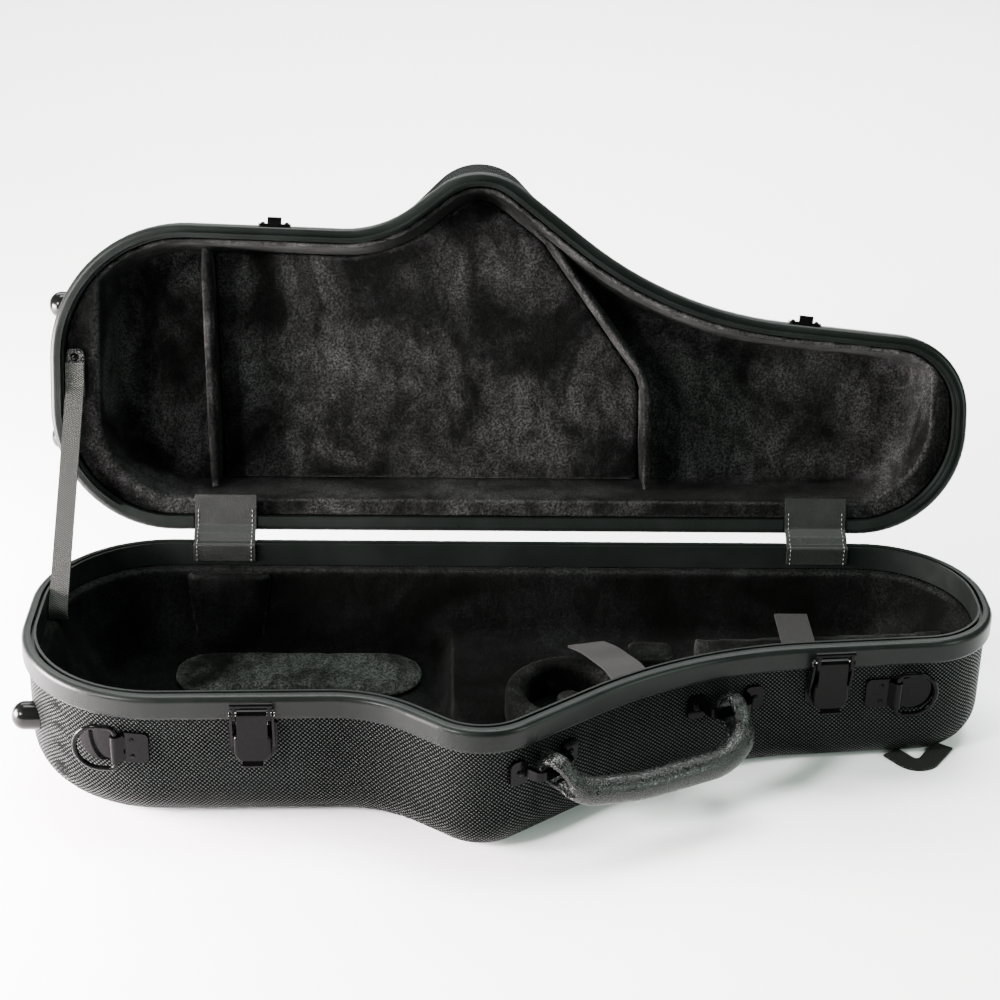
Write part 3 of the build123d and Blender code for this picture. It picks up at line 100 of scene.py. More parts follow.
class NodeBench:
    """Builds one node tree of a material."""

    def __init__(self, name: str) -> None:
        """Start an empty material.

        Args:
            name: the material's name.
        """
        self.material = bpy.data.materials.new(name)
        self.material.use_nodes = True
        self.tree = self.material.node_tree
        self.tree.nodes.clear()
        output = self.tree.nodes.new("ShaderNodeOutputMaterial")
        self.shader = self.tree.nodes.new("ShaderNodeBsdfPrincipled")
        self.tree.links.new(self.shader.outputs["BSDF"], output.inputs["Surface"])

    def node(self, kind: str, **settings: object) -> bpy.types.Node:
        """Add a node.

        Args:
            kind: the node's type.
            settings: properties to set on it.

        Returns:
            The new node.
        """
        made = self.tree.nodes.new(kind)
        for key, value in settings.items():
            setattr(made, key, value)
        return made

    def put(self, node: bpy.types.Node, socket: object, value: object) -> None:
        """Set an input socket, or link an output to it.

        Args:
            node: the node.
            socket: the input's name or index.
            value: a value, or the output to link.
        """
        if isinstance(value, bpy.types.NodeSocket):
            self.tree.links.new(value, node.inputs[socket])
        else:
            node.inputs[socket].default_value = value

    def put_all(self, node: bpy.types.Node, **sockets: object) -> None:
        """Set or link several input sockets, named with underscores for spaces."""
        for key, value in sockets.items():
            self.put(node, key.replace("_", " "), value)

    def math(self, operation: str, *values: object, clamp: bool = False) -> bpy.types.NodeSocket:
        """Add a maths node.

        Args:
            operation: what it does.
            values: its inputs.
            clamp: whether the result is kept between 0 and 1.

        Returns:
            The result.
        """
        made = self.node("ShaderNodeMath", operation=operation, use_clamp=clamp)
        for index, value in enumerate(values):
            self.put(made, index, value)
        return made.outputs[0]

    def place(self, source: str = "Object") -> bpy.types.NodeSocket:
        """Give the object's own coordinates, or its UV map's."""
        return self.node("ShaderNodeTexCoord").outputs[source]

    def split(self, vector: bpy.types.NodeSocket) -> list[bpy.types.NodeSocket]:
        """Split a vector.

        Args:
            vector: the vector.

        Returns:
            Its three parts.
        """
        made = self.node("ShaderNodeSeparateXYZ")
        self.put(made, 0, vector)
        return [made.outputs[index] for index in range(3)]

    def grain(self, vector: bpy.types.NodeSocket, scale: float, detail: float,
              rough: float = 0.55, twist: float = 0.0) -> bpy.types.NodeSocket:
        """Give a noise between 0 and 1.

        Args:
            vector: the coordinates to read.
            scale: cells per metre.
            detail: octaves.
            rough: weight of the finer octaves.
            twist: distortion.

        Returns:
            The noise's value.
        """
        made = self.node("ShaderNodeTexNoise")
        self.put_all(made, Vector=vector, Scale=scale, Detail=detail, Roughness=rough,
                     Distortion=twist)
        return made.outputs["Fac"]

    def ramp(self, value: object, low: float, high: float, dark: float = 0.0,
             light: float = 1.0) -> bpy.types.NodeSocket:
        """Map a value from one range to another, smoothly and clamped.

        Args:
            value: the value.
            low: the start of its range.
            high: the end of its range.
            dark: the result at the start.
            light: the result at the end.

        Returns:
            The mapped value.
        """
        made = self.node("ShaderNodeMapRange", interpolation_type="SMOOTHSTEP")
        for index, number in enumerate((value, low, high, dark, light)):
            self.put(made, index, number)
        return made.outputs[0]

    def blend(self, share: object, first: object, second: object) -> bpy.types.NodeSocket:
        """Mix two colours.

        Args:
            share: the share of the second colour.
            first: a colour as a tuple, or an output.
            second: a colour as a tuple, or an output.

        Returns:
            The mixed colour.
        """
        made = self.node("ShaderNodeMix", data_type="RGBA")
        self.put(made, "Factor", share)
        for socket, color in ((MIX_FIRST, first), (MIX_SECOND, second)):
            self.put(made, socket, (*color, 1.0) if isinstance(color, tuple) else color)
        return made.outputs[MIX_RESULT]

    def bump(self, height: bpy.types.NodeSocket, distance: float, strength: float,
             under: bpy.types.NodeSocket | None = None) -> bpy.types.NodeSocket:
        """Give a bumped normal.

        Args:
            height: the height.
            distance: how far a height of 1 stands out, in metres.
            strength: how much of the bump shows.
            under: a normal that the bump is laid over.

        Returns:
            The normal.
        """
        made = self.node("ShaderNodeBump")
        self.put_all(made, Height=height, Distance=distance, Strength=strength)
        if under is not None:
            self.put(made, "Normal", under)
        return made.outputs[0]

    def finish(self, **sockets: object) -> bpy.types.Material:
        """Set the shader's sockets and give the material."""
        self.put_all(self.shader, **sockets)
        return self.material


@dataclass(frozen=True)
class EmbossedTwill:
    """Moulded sheet with an embossed twill of small checks: the raised ones painted lighter, a
    painted highlight, and the grooves between them near black, a painted shade.
    """

    name: str
    turn: float = 0.0
    pitch: float = 3.0 * MM
    lean: float = 0.10
    relief: float = 0.42 * MM
    # The near-black colour of the grooves is a painted shade; the lighter colour of the raised
    # checks is a painted highlight.
    groove_shade: tuple = (0.0006, 0.0008, 0.0007)
    raised: tuple = (0.0110, 0.0134, 0.0122)
    check_band: tuple = (0.05, 0.55)
    gloss_levels: tuple = (0.55, 0.34)
    specular_levels: tuple = (0.01, 0.12)
    scuffs: float = 40.0
    scuff_levels: tuple = (-0.03, 0.04)
    side_sharpness: float = 6.0

    def checks(self, bench: NodeBench, across: object, along: object) -> bpy.types.NodeSocket:
        """Args:
            bench: the node tree.
            across: the coordinate across.
            along: the coordinate along.

        Returns:
            The height between -1 and 1.
        """
        step = 2 * math.pi / self.pitch
        slanted = bench.math("ADD", across, bench.math("MULTIPLY", along, self.lean))
        first = bench.math("SINE", bench.math("MULTIPLY", slanted, step))
        second = bench.math("SINE", bench.math("MULTIPLY", along, step))
        return bench.math("MULTIPLY", first, second)

    def turned(self, bench: NodeBench, vector: bpy.types.NodeSocket,
               centre: tuple = (0.0, 0.0, 0.0)) -> bpy.types.NodeSocket:
        """Turn a vector as the lid is turned, so that the twill follows the lid.

        Args:
            bench: the node tree.
            vector: the place or direction to turn.
            centre: what it turns about, in the plane across the hinge axis.

        Returns:
            The turned vector.
        """
        made = bench.node("ShaderNodeVectorRotate", rotation_type="X_AXIS")
        bench.put_all(made, Vector=vector, Center=centre, Angle=self.turn)
        return made.outputs[0]

    def build(self) -> bpy.types.Material:
        """Build the material.

        Returns:
            The material.
        """
        bench = NodeBench(self.name)
        x, y, z = bench.split(self.turned(bench, bench.place(), tuple(HINGE)))
        facing = bench.split(self.turned(bench, bench.place("Normal")))
        sides = [bench.math("POWER", bench.math("ABSOLUTE", part), self.side_sharpness)
                 for part in facing]
        total = bench.math("ADD", bench.math("ADD", sides[0], sides[1]), sides[2])
        layers = [
            bench.math("MULTIPLY", side, self.checks(bench, *plane))
            for side, plane in zip(sides, ((y, z), (x, z), (x, y)))
        ]
        height = bench.math("DIVIDE", bench.math(
            "ADD", bench.math("ADD", layers[0], layers[1]), layers[2]), total)
        raised = bench.ramp(height, *self.check_band)
        scuff = bench.grain(bench.place(), self.scuffs, detail=4.0)
        gloss = bench.math("ADD", bench.ramp(raised, 0.0, 1.0, *self.gloss_levels),
                           bench.ramp(scuff, *NOISE_BAND, *self.scuff_levels))
        # The base colour paints a highlight on the raised checks and shade in the grooves between
        # them.
        return bench.finish(
            Base_Color=bench.blend(raised, self.groove_shade, self.raised), Roughness=gloss,
            Specular_IOR_Level=bench.ramp(raised, 0.0, 1.0, *self.specular_levels),
            Normal=bench.bump(raised, self.relief, 1.0))


@dataclass(frozen=True)
class SatinPlastic:
    """Smooth moulded plastic with the faint grain of the mould."""

    name: str
    color: tuple = (0.0027, 0.0036, 0.0031)
    worn: tuple = (0.0038, 0.0050, 0.0044)
    gloss: float = 0.30
    gloss_spread: tuple = (-0.03, 0.05)
    specular: float = 0.075
    clouds: float = 30.0
    wear_band: tuple = (0.35, 0.7)
    grains: float = 2500.0
    grain_depth: float = 0.03 * MM
    grain_strength: float = 0.6

    def build(self) -> bpy.types.Material:
        """Build the material.

        Returns:
            The material.
        """
        bench = NodeBench(self.name)
        place = bench.place()
        cloud = bench.grain(place, self.clouds, detail=5.0)
        fine = bench.grain(place, self.grains, detail=2.0)
        duller, glossier = (self.gloss + part for part in self.gloss_spread)
        return bench.finish(
            Base_Color=bench.blend(bench.ramp(cloud, *self.wear_band), self.color, self.worn),
            Roughness=bench.ramp(cloud, *NOISE_BAND, duller, glossier),
            Specular_IOR_Level=self.specular,
            Normal=bench.bump(fine, self.grain_depth, self.grain_strength))


@dataclass(frozen=True)
class GlossEnamel:
    """Black lacquered metal with slight waviness and worn high spots."""

    name: str
    color: tuple = (0.0008, 0.0008, 0.0008)
    worn: tuple = (0.003, 0.003, 0.003)
    gloss: float = 0.10
    gloss_spread: float = 0.10
    gloss_band: tuple = (0.4, 0.8)
    specular: float = 0.045
    metallic: float = 0.0
    specks: float = 900.0
    wear_band: tuple = (0.62, 0.75)
    waves: float = 160.0
    wave_depth: float = 0.05 * MM
    wave_strength: float = 0.5

    def build(self) -> bpy.types.Material:
        """Build the material.

        Returns:
            The material.
        """
        bench = NodeBench(self.name)
        place = bench.place()
        wave = bench.grain(place, self.waves, detail=2.0)
        specks = bench.grain(place, self.specks, detail=3.0)
        return bench.finish(
            Base_Color=bench.blend(bench.ramp(specks, *self.wear_band), self.color, self.worn),
            Roughness=bench.ramp(specks, *self.gloss_band, self.gloss,
                                 self.gloss + self.gloss_spread),
            Metallic=self.metallic, Specular_IOR_Level=self.specular,
            Normal=bench.bump(wave, self.wave_depth, self.wave_strength))


@dataclass(frozen=True)
class PebbledLeather:
    """Dyed leather with a pebbled grain, its pebble crests painted lighter, a painted highlight.
    It follows the UV map where the piece has one.
    """

    name: str
    source: str = "Object"
    color: tuple = (0.0012, 0.0017, 0.0014)
    # The lighter colour of the pebble crests is a painted highlight.
    lit_crest: tuple = (0.0065, 0.0086, 0.0069)
    cells: float = 900.0
    cell_softness: float = 0.4
    cell_band: tuple = (0.15, 0.65, 1.0, 0.0)
    depth: float = 0.34 * MM
    strength: float = 0.9
    gloss: float = 0.27
    gloss_band: tuple = (0.3, 0.75)
    gloss_spread: tuple = (-0.05, 0.10)
    specular: float = 0.20
    creases: float = 90.0
    crease_levels: tuple = (0.35, 1.0)
    crease_depth: float = 0.6 * MM
    crease_strength: float = 0.35

    def build(self) -> bpy.types.Material:
        """Build the material.

        Returns:
            The material.
        """
        bench = NodeBench(self.name)
        place = bench.place(self.source)
        pebbles = bench.node("ShaderNodeTexVoronoi", feature="SMOOTH_F1")
        bench.put_all(pebbles, Vector=place, Scale=self.cells, Smoothness=self.cell_softness)
        height = bench.ramp(pebbles.outputs["Distance"], *self.cell_band)
        creases = bench.grain(place, self.creases, detail=4.0, rough=0.6, twist=0.6)
        # Painted highlight: the tops of the pebbles take the lighter crest colour.
        share = bench.math("MULTIPLY", height,
                           bench.ramp(creases, *NOISE_BAND, *self.crease_levels))
        duller, glossier = (self.gloss + part for part in self.gloss_spread)
        under = bench.bump(creases, self.crease_depth, self.crease_strength)
        return bench.finish(
            Base_Color=bench.blend(share, self.color, self.lit_crest),
            Roughness=bench.ramp(creases, *self.gloss_band, duller, glossier),
            Specular_IOR_Level=self.specular,
            Normal=bench.bump(height, self.depth, self.strength, under))


@dataclass(frozen=True)
class Velvet:
    """Short-pile plush: dark, mottled where the pile lies another way, with its convex edges
    painted paler, a painted sheen.

    Each band gives the part of a noise that counts and the two levels that it is mapped to.
    """

    name: str
    deep: tuple = (0.0005, 0.0006, 0.0005)
    brushed: tuple = (0.0185, 0.0193, 0.0187)
    # The edge colour is a painted sheen: convex edges paler, as where the pile opens and catches
    # light.
    edge: tuple = (0.050, 0.053, 0.051)
    patches: float = 13.0
    patch_band: tuple = (0.36, 0.66, 0.10, 1.0)
    strokes_in_patch: float = 5.0
    stroke_turn: tuple = (0.3, 0.6, 0.2)
    stroke_stretch: tuple = (1.0, 0.6, 0.55)
    stroke_band: tuple = (0.34, 0.64, 0.42, 1.0)
    stroke_depth: float = 1.4 * MM
    stroke_strength: float = 0.5
    pile: float = 620.0
    pile_band: tuple = (0.38, 0.68, 0.25, 1.25)
    pile_depth: float = 0.7 * MM
    pile_strength: float = 0.8
    edge_band: tuple = (0.35, 0.65, 0.15, 1.0)
    gloss: float = 0.95
    specular: float = 0.01
    sheen: tuple = (0.008, 0.3, (0.75, 0.85, 0.78, 1.0))

    def build(self) -> bpy.types.Material:
        """Build the material.

        Returns:
            The material.
        """
        bench = NodeBench(self.name)
        place = bench.place()
        cloud = bench.grain(place, self.patches, detail=4.0, rough=0.55, twist=0.9)
        slanted = bench.node("ShaderNodeMapping")
        bench.put_all(slanted, Vector=place, Rotation=self.stroke_turn,
                      Scale=self.stroke_stretch)
        strokes = bench.grain(slanted.outputs[0], self.patches * self.strokes_in_patch,
                              detail=4.0, rough=0.6, twist=0.8)
        pile = bench.grain(place, self.pile, detail=2.0, rough=0.8)
        painted_edge_sheen = bench.node("ShaderNodeAttribute", attribute_type="GEOMETRY", attribute_name="painted_edge_sheen")
        lie = bench.math("MULTIPLY", bench.ramp(cloud, *self.patch_band),
                         bench.ramp(strokes, *self.stroke_band))
        speckle = bench.math("MULTIPLY", lie, bench.ramp(pile, *self.pile_band))
        body = bench.blend(speckle, self.deep, self.brushed)
        # Painted sheen: convex edges take the paler edge colour.
        share = bench.math("MULTIPLY", painted_edge_sheen.outputs["Fac"], bench.ramp(pile, *self.edge_band),
                           clamp=True)
        weight, rough, tint = self.sheen
        under = bench.bump(strokes, self.stroke_depth, self.stroke_strength)
        return bench.finish(
            Base_Color=bench.blend(share, body, self.edge), Roughness=self.gloss,
            Specular_IOR_Level=self.specular, Sheen_Weight=weight, Sheen_Roughness=rough,
            Sheen_Tint=tint, Normal=bench.bump(pile, self.pile_depth, self.pile_strength, under))


@dataclass(frozen=True)
class Webbing:
    """Woven strap with ribs across it, read from the UV map in metres; the grooves between the
    ribs are painted dark, a painted shade.
    """

    name: str
    # The dark colour is a painted shade in the grooves between the ribs; the yarn colour is that
    # of the rib tops.
    dark: tuple = (0.0012, 0.0014, 0.0012)
    yarn: tuple = (0.0300, 0.0350, 0.0290)
    rib: float = 1.5 * MM
    rib_band: tuple = (-0.8, 0.9)
    column: float = 1.2 * MM
    column_band: tuple = (0.0, 0.6)
    fuzz: float = 1400.0
    fuzz_levels: tuple = (0.6, 1.0)
    depth: float = 0.35 * MM
    strength: float = 0.8
    gloss: float = 0.62
    specular: float = 0.12
    sheen: tuple = (0.02, 0.4)

    def build(self) -> bpy.types.Material:
        """Build the material.

        Returns:
            The material.
        """
        bench = NodeBench(self.name)
        across, along, _ = bench.split(bench.place("UV"))
        row = bench.math("MULTIPLY", along, 2 * math.pi / self.rib)
        column = bench.math("MULTIPLY", across, math.pi / self.column)
        shifted = bench.math("ADD", row, bench.math(
            "MULTIPLY", bench.math("SIGN", bench.math("SINE", column)), math.pi / 2))
        ribs = bench.ramp(bench.math("SINE", shifted), *self.rib_band)
        columns = bench.ramp(bench.math("ABSOLUTE", bench.math("SINE", column)), *self.column_band)
        height = bench.math("MULTIPLY", ribs, columns)
        fuzz = bench.grain(bench.place("UV"), self.fuzz, detail=3.0)
        # Painted shade: the grooves keep the dark colour and the rib tops take the yarn colour.
        light = bench.math("MULTIPLY", height, bench.ramp(fuzz, *NOISE_BAND, *self.fuzz_levels))
        weight, rough = self.sheen
        return bench.finish(
            Base_Color=bench.blend(light, self.dark, self.yarn), Roughness=self.gloss,
            Specular_IOR_Level=self.specular, Sheen_Weight=weight, Sheen_Roughness=rough,
            Normal=bench.bump(height, self.depth, self.strength))


@dataclass(frozen=True)
class Thread:
    """Twisted sewing thread."""

    name: str
    color: tuple = (0.05, 0.06, 0.052)
    light: tuple = (0.16, 0.18, 0.16)
    gloss: float = 0.5
    twists: float = 2200.0
    twist_band: tuple = (0.35, 0.65)
    twist_depth: float = 0.1 * MM
    twist_strength: float = 0.6

    def build(self) -> bpy.types.Material:
        """Build the material.

        Returns:
            The material.
        """
        bench = NodeBench(self.name)
        twist = bench.grain(bench.place(), self.twists, detail=2.0)
        return bench.finish(
            Base_Color=bench.blend(bench.ramp(twist, *self.twist_band), self.color, self.light),
            Roughness=self.gloss, Normal=bench.bump(twist, self.twist_depth, self.twist_strength))


@dataclass(frozen=True)
class FloorPaint:
    """Pale studio floor with a barely visible cloudiness."""

    name: str
    color: tuple = (0.90, 0.905, 0.90)
    faint: tuple = (0.88, 0.885, 0.88)
    clouds: float = 3.0
    gloss: float = 0.7
    specular: float = 0.2

    def build(self) -> bpy.types.Material:
        """Build the material.

        Returns:
            The material.
        """
        bench = NodeBench(self.name)
        cloud = bench.grain(bench.place(), self.clouds, detail=4.0)
        return bench.finish(Base_Color=bench.blend(cloud, self.color, self.faint),
                            Roughness=self.gloss, Specular_IOR_Level=self.specular)


def dress(node: str, material: bpy.types.Material) -> None:
    """Give a CAD node its finish.

    Args:
        node: the node's name.
        material: the finish.
    """
    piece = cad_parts[node]
    piece.data.materials.clear()
    piece.data.materials.append(material)
    log.info("dressed %s in %s", node, material.name)


def add_object(name: str, data: object) -> bpy.types.Object:
    """Put data into the scene as a new object.

    Args:
        name: the object's name.
        data: a mesh, curve, light or camera.

    Returns:
        The new object.
    """
    made = bpy.data.objects.new(name, data)
    bpy.context.scene.collection.objects.link(made)
    return made


def piece_from(work: bmesh.types.BMesh, name: str) -> bpy.types.Object:
    """Turn an edited mesh into a new piece, and free it.

    Args:
        work: the edited mesh.
        name: the new piece's name.

    Returns:
        The new piece.
    """
    mesh = bpy.data.meshes.new(name)
    work.to_mesh(mesh)
    work.free()
    return add_object(name, mesh)


def copy_of(node: str, name: str) -> bpy.types.Object:
    """Make a merged copy of a CAD node's mesh as a new piece.

    Args:
        node: the node to copy.
        name: the new piece's name.

    Returns:
        The new piece.
    """
    work = bmesh.new()
    work.from_mesh(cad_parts[node].data)
    bmesh.ops.remove_doubles(work, verts=work.verts, dist=WELD)
    bmesh.ops.recalc_face_normals(work, faces=work.faces)
    return piece_from(work, name)


def refine(piece: bpy.types.Object, cell: float, rounds: int) -> None:
    """Cut a piece's long edges in two, round by round, into triangles.

    Args:
        piece: the piece.
        cell: the longest edge that the mesh keeps.
        rounds: the most rounds.
    """
    work = bmesh.new()
    work.from_mesh(piece.data)
    for _ in range(rounds):
        long_edges = [edge for edge in work.edges if edge.calc_length() > cell]
        if not long_edges:
            break
        bmesh.ops.subdivide_edges(work, edges=long_edges, cuts=1)
        bmesh.ops.triangulate(work, faces=work.faces)
    work.to_mesh(piece.data)
    work.free()


def settle(piece: bpy.types.Object) -> None:
    """Turn a piece with its modifiers into a plain mesh.

    Args:
        piece: the piece.
    """
    graph = bpy.context.evaluated_depsgraph_get()
    mesh = bpy.data.meshes.new_from_object(piece.evaluated_get(graph))
    piece.modifiers.clear()
    piece.data = mesh


def spots_of(mesh: bpy.types.Mesh) -> np.ndarray:
    """Read a mesh's vertices.

    Args:
        mesh: the mesh.

    Returns:
        Rows of x, y and z.
    """
    flat = np.empty(len(mesh.vertices) * 3)
    mesh.vertices.foreach_get("co", flat)
    return flat.reshape(-1, 3)


def normals_of(mesh: bpy.types.Mesh) -> np.ndarray:
    """Read a mesh's vertex normals.

    Args:
        mesh: the mesh.

    Returns:
        Rows of x, y and z.
    """
    flat = np.empty(len(mesh.vertices) * 3)
    mesh.vertex_normals.foreach_get("vector", flat)
    return flat.reshape(-1, 3)


def move_to(mesh: bpy.types.Mesh, spots: np.ndarray) -> None:
    """Set a mesh's vertices."""
    mesh.vertices.foreach_set("co", spots.ravel())
    mesh.update()


def mean_of_neighbours(mesh: bpy.types.Mesh, values: np.ndarray) -> np.ndarray:
    """Average the values of each vertex's neighbours.

    Args:
        mesh: the mesh.
        values: a number or a row for each vertex.

    Returns:
        The mean for each vertex.
    """
    pairs = np.empty(len(mesh.edges) * 2, dtype=np.int64)
    mesh.edges.foreach_get("vertices", pairs)
    pairs = pairs.reshape(-1, 2)
    total = np.zeros_like(values)
    count = np.zeros(len(values))
    for here, there in ((0, 1), (1, 0)):
        np.add.at(total, pairs[:, here], values[pairs[:, there]])
        np.add.at(count, pairs[:, here], 1)
    count = np.maximum(count, 1)
    return total / (count[:, None] if values.ndim > 1 else count)


def mark_painted_edge_sheen(piece: bpy.types.Object, cell: float, flattest: float = 0.06,
             gain: float = 5.0) -> None:
    """Store how convex each spot is as a point attribute, for the painted sheen that makes the
    convex edges of plush paler.

    Args:
        piece: the piece to mark.
        cell: the mesh's cell size.
        flattest: how far a spot stands out, in cells, where the paleness starts.
        gain: how strongly edges show.
    """
    mesh = piece.data
    spots = spots_of(mesh)
    sunk = mean_of_neighbours(mesh, spots) - spots
    bend = -np.einsum("ij,ij->i", sunk, normals_of(mesh)) / cell
    bend = 0.5 * bend + 0.5 * mean_of_neighbours(mesh, bend)
    layer = mesh.attributes.new("painted_edge_sheen", "FLOAT", "POINT")
    layer.data.foreach_set("value", np.clip((bend - flattest) * gain, 0.0, 1.0))


def ripple(piece: bpy.types.Object, depth: float, seed: float) -> None:
    """Move a piece's surface in and out along its normals by a slow noise.

    Args:
        piece: the piece.
        depth: how far a wave goes.
        seed: start of the noise.
    """
    mesh = piece.data
    spots = spots_of(mesh)
    shift = Vector((seed, seed, seed))
    waves = np.array([noise.noise(Vector(spot) / RIPPLE_SIZE + shift) for spot in spots])
    move_to(mesh, spots + normals_of(mesh) * (waves * depth)[:, None])


def inflate(piece: bpy.types.Object, pressure: float, cap: float, steps: int = 20) -> None:
    """Swell a closed piece as stuffed cloth, with a cap on how far a point may move.

    Args:
        piece: the piece.
        pressure: the pressure inside.
        cap: the furthest that a point may move, in metres.
        steps: how many frames the cloth runs for.
    """
    start = spots_of(piece.data)
    cloth = piece.modifiers.new("stuffing", "CLOTH")
    cloth.settings.use_pressure = True
    cloth.settings.uniform_pressure_force = pressure
    cloth.settings.effector_weights.gravity = 0.0
    scene = bpy.context.scene
    for step in range(1, steps + 1):
        scene.frame_set(step)
    graph = bpy.context.evaluated_depsgraph_get()
    swollen = piece.evaluated_get(graph)
    moved = spots_of(swollen.data) - start
    piece.modifiers.clear()
    scene.frame_set(1)
    length = np.linalg.norm(moved, axis=1, keepdims=True)
    move_to(piece.data, start + moved * np.minimum(1.0, cap / np.maximum(length, TINY)))


def lay_uv(piece: bpy.types.Object, across: Vector, along: Vector) -> None:
    """Lay a UV map in metres on a piece, from its places across and along it.

    Args:
        piece: the piece.
        across: the direction across it.
        along: the direction along it.
    """
    mesh = piece.data
    layer = mesh.uv_layers.new(name="weave")
    spots = spots_of(mesh)
    corners = np.empty(len(mesh.loops), dtype=np.int64)
    mesh.loops.foreach_get("vertex_index", corners)
    flat = np.stack([spots[corners] @ np.array(across), spots[corners] @ np.array(along)], axis=1)
    layer.data.foreach_set("uv", flat.ravel())


def curve_through(knots: tuple, steps: int) -> list[Vector]:
    """Give evenly stepped spots on a smooth curve through a few knots.

    Args:
        knots: the places that the curve passes through, in metres.
        steps: how many spots lie between two knots.

    Returns:
        The spots, the last knot included.
    """
    padded = [Vector(knots[0]) * 2 - Vector(knots[1]), *map(Vector, knots),
              Vector(knots[-1]) * 2 - Vector(knots[-2])]
    spots = []
    for index in range(1, len(padded) - 2):
        before, here, there, after = padded[index - 1:index + 3]
        for share in np.arange(steps) / steps:
            spots.append(0.5 * (2 * here + (there - before) * share
                                + (2 * before - 5 * here + 4 * there - after) * share ** 2
                                + (3 * here - before - 3 * there + after) * share ** 3))
    return [*spots, Vector(knots[-1])]


def ribbon(name: str, spots: list[Vector], across: Vector, width: float, wall: float,
           columns: int = 8) -> bpy.types.Object:
    """Make a closed ribbon along a line of spots, with a UV map in metres.

    Args:
        name: the piece's name.
        spots: the middle line.
        across: the direction of its width.
        width: how wide it is.
        wall: how thick it is.
        columns: faces across it.

    Returns:
        The ribbon.
    """
    work = bmesh.new()
    layer = work.loops.layers.uv.new("weave")
    shares = np.linspace(-0.5, 0.5, columns + 1)
    places, rings, run = {}, [], 0.0
    for index, spot in enumerate(spots):
        before, after = spots[max(index - 1, 0)], spots[min(index + 1, len(spots) - 1)]
        out = (after - before).cross(across).normalized() * (wall / 2)
        run += (spot - before).length
        ring = []
        for side, row in ((1, shares), (-1, shares[::-1])):
            for share in row:
                corner = work.verts.new(spot + across * (share * width) + out * side)
                places[corner] = (share * width, run)
                ring.append(corner)
        rings.append(ring)
    count = len(rings[0])
    for first, second in zip(rings, rings[1:]):
        for index in range(count):
            following = (index + 1) % count
            work.faces.new((first[index], first[following], second[following], second[index]))
    for ring in (rings[0], rings[-1]):
        for index in range(columns):
            work.faces.new((*ring[index:index + 2], *ring[count - 2 - index:count - index]))
    bmesh.ops.recalc_face_normals(work, faces=work.faces)
    for face in work.faces:
        for loop in face.loops:
            loop[layer].uv = places[loop.vert]
    return piece_from(work, name)


def smooth_faces(piece: bpy.types.Object) -> None:
    """Shade a piece's faces smooth."""
    piece.data.polygons.foreach_set("use_smooth", [True] * len(piece.data.polygons))


def soften(node: str, name: str, cell: float, rounds: int, fill: Fill = Fill.FLAT,
           seed: float = 0.0, wave: float = 0.35 * MM) -> bpy.types.Object:
    """Make the cloth-covered form of a plain soft solid: remeshed, rounded, stuffed and rippled.

    Args:
        node: the CAD node that the piece stands for.
        name: the new piece's name.
        cell: the remesh cell.
        rounds: smoothing rounds, which round the edges.
        fill: how plump it is.
        seed: start of the ripple's noise.
        wave: depth of the ripple.

    Returns:
        The new piece.
    """
    piece = copy_of(node, name)
    remesh = piece.modifiers.new("cells", "REMESH")
    remesh.mode = "VOXEL"
    remesh.voxel_size = cell
    round_off = piece.modifiers.new("rounding", "SMOOTH")
    round_off.factor = SMOOTHING
    round_off.iterations = rounds
    settle(piece)
    pressure, cap = fill.value
    if pressure:
        move_to(piece.data, spots_of(piece.data) - normals_of(piece.data) * DRAW_IN)
        inflate(piece, pressure, cap * MM)
    ripple(piece, wave, seed)
    smooth_faces(piece)
    # Mark the convex edges for the painted sheen of the velvet.
    mark_painted_edge_sheen(piece, cell)
    return piece


